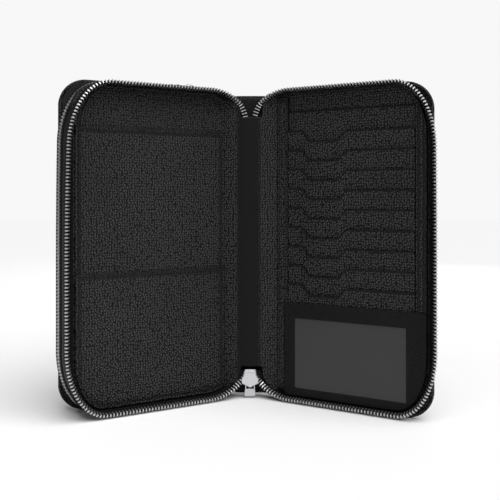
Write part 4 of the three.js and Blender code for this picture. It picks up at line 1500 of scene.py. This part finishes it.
def pull_parts():
    """A pull in its own frame: an eye that turns under the crown, and a plate that widens to
    its rounded end, with a raised rim. It runs along z from the hinge line."""
    length, thick = 15.5, 1.05
    sides = [np.array([[sign * 2.9, 0, -0.15], [sign * 3.0, 0, 2.4], [sign * 3.3, 0, 9.6]])
             for sign in (-1, 1)]
    across = np.array([[x, 0, 0] for x in np.linspace(-3.3, 3.3, 5)])
    parts = [rounded_bar(side, 0.9, thick, [1, 0, 0]) for side in sides]
    parts.append(rounded_bar(across, 1.0, 1.0, [0, 0, 1]))
    z = np.array([9.0, 9.3, 10.0, 11.2, 13.6, 14.8, length - 0.15, length])
    half = np.array([3.7, 3.8, 3.9, 4.05, 4.25, 4.2, 3.6, 2.9])
    x = np.array([-1, -0.97, -0.9, -0.5, 0, 0.5, 0.9, 0.97, 1])
    rim = np.array([0.25, 0.8, 1.0, 0.7, 0.6, 0.7, 1.0, 0.8, 0.25]) * thick / 2
    end = np.array([0.5, 1, 1, 1, 1, 1, 0.9, 0.45])
    across_x = half[:, None] * x
    height = end[:, None] * rim
    rise = np.repeat(z[:, None], len(x), 1)
    parts.append(closed_sheet(np.stack([across_x, height, rise], -1),
                              np.stack([across_x, -height, rise], -1)))
    return join_parts(parts)


def set_down(points, origin, axes):
    """Points in mm from a piece's own frame into the scene. The rows of axes are its x, y, z."""
    return origin + MM * points @ np.array(axes)


# %% Both sliders and their pulls
HINGE_OUT = BAY + PLATE + 0.8
HANGING = np.array([[-1, 0, 0], [0, 1, 0], [0, 0, -1]])
ALONG_TOP = np.array([LEFT.face, UP, LEFT.out])

for zip_name, neck, axes, pull_axes in (("main", 2.2, np.eye(3), HANGING),
                                        ("outer", 0.5, ALONG_TOP, ALONG_TOP)):
    hinge = np.array(JOINT[f"{zip_name}_pull_swing"]["pos_m"])
    origin = hinge - MM * (HINGE_OUT * axes[1] + CROWN_AT * axes[2])
    points, faces = slider_parts(neck)
    slider = make_piece(f"{zip_name}_slider_cast", set_down(points, origin, axes), faces, SATIN,
                        [f"{zip_name}_slider"])
    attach(slider, f"{zip_name}_slider")
    points, faces = pull_parts()
    pull = make_piece(f"{zip_name}_pull_plate", set_down(points, hinge, pull_axes), faces, BRIGHT,
                      [f"{zip_name}_pull"])
    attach(pull, f"{zip_name}_pull")

# %% [markdown]
# ## Boards and outside stitching
# The boards keep their shape from the solid model and only need a finish. Round both covers
# runs a line of stitches that holds the turned edge.

# %% Boards
for node in ("middle_board", "right_board", "spine_board", "outer_cover_board"):
    board = frame["nodes"][node]
    board.data.materials.clear()
    board.data.materials.append(BOARD)

# %% Outside stitching
COVER_FACE = -LEATHER - 0.02
stitching("right_cover_stitching", "right_half",
          [along_rim(RIGHT, RIGHT_COVER, 3.0, COVER_FACE, 14.0)], -RIGHT.face)
stitching("outer_cover_stitching", "outer_cover",
          [along_rim(LEFT, REAR_COVER, 3.0, COVER_FACE - REAR_DEPTH, 14.0)], -LEFT.face)

# %% [markdown]
# ## The floor
# A wide, flat, pale floor. It isn't part of the organizer.

# %% Floor
floor_mesh = bpy.data.meshes.new("floor")
FLOOR = 4.0
floor_corners = [(-FLOOR, -FLOOR, 0), (FLOOR, -FLOOR, 0), (FLOOR, FLOOR, 0), (-FLOOR, FLOOR, 0)]
floor_mesh.from_pydata(floor_corners, [], [(0, 1, 2, 3)])
floor = bpy.data.objects.new("floor", floor_mesh)
scene.collection.objects.link(floor)
floor_material, floor_shader = new_material("pale_floor")
floor_shader.inputs["Base Color"].default_value = (0.9, 0.9, 0.9, 1)
floor_shader.inputs["Roughness"].default_value = 1.0
floor_shader.inputs["Specular IOR Level"].default_value = 0.0
floor_mesh.materials.append(floor_material)
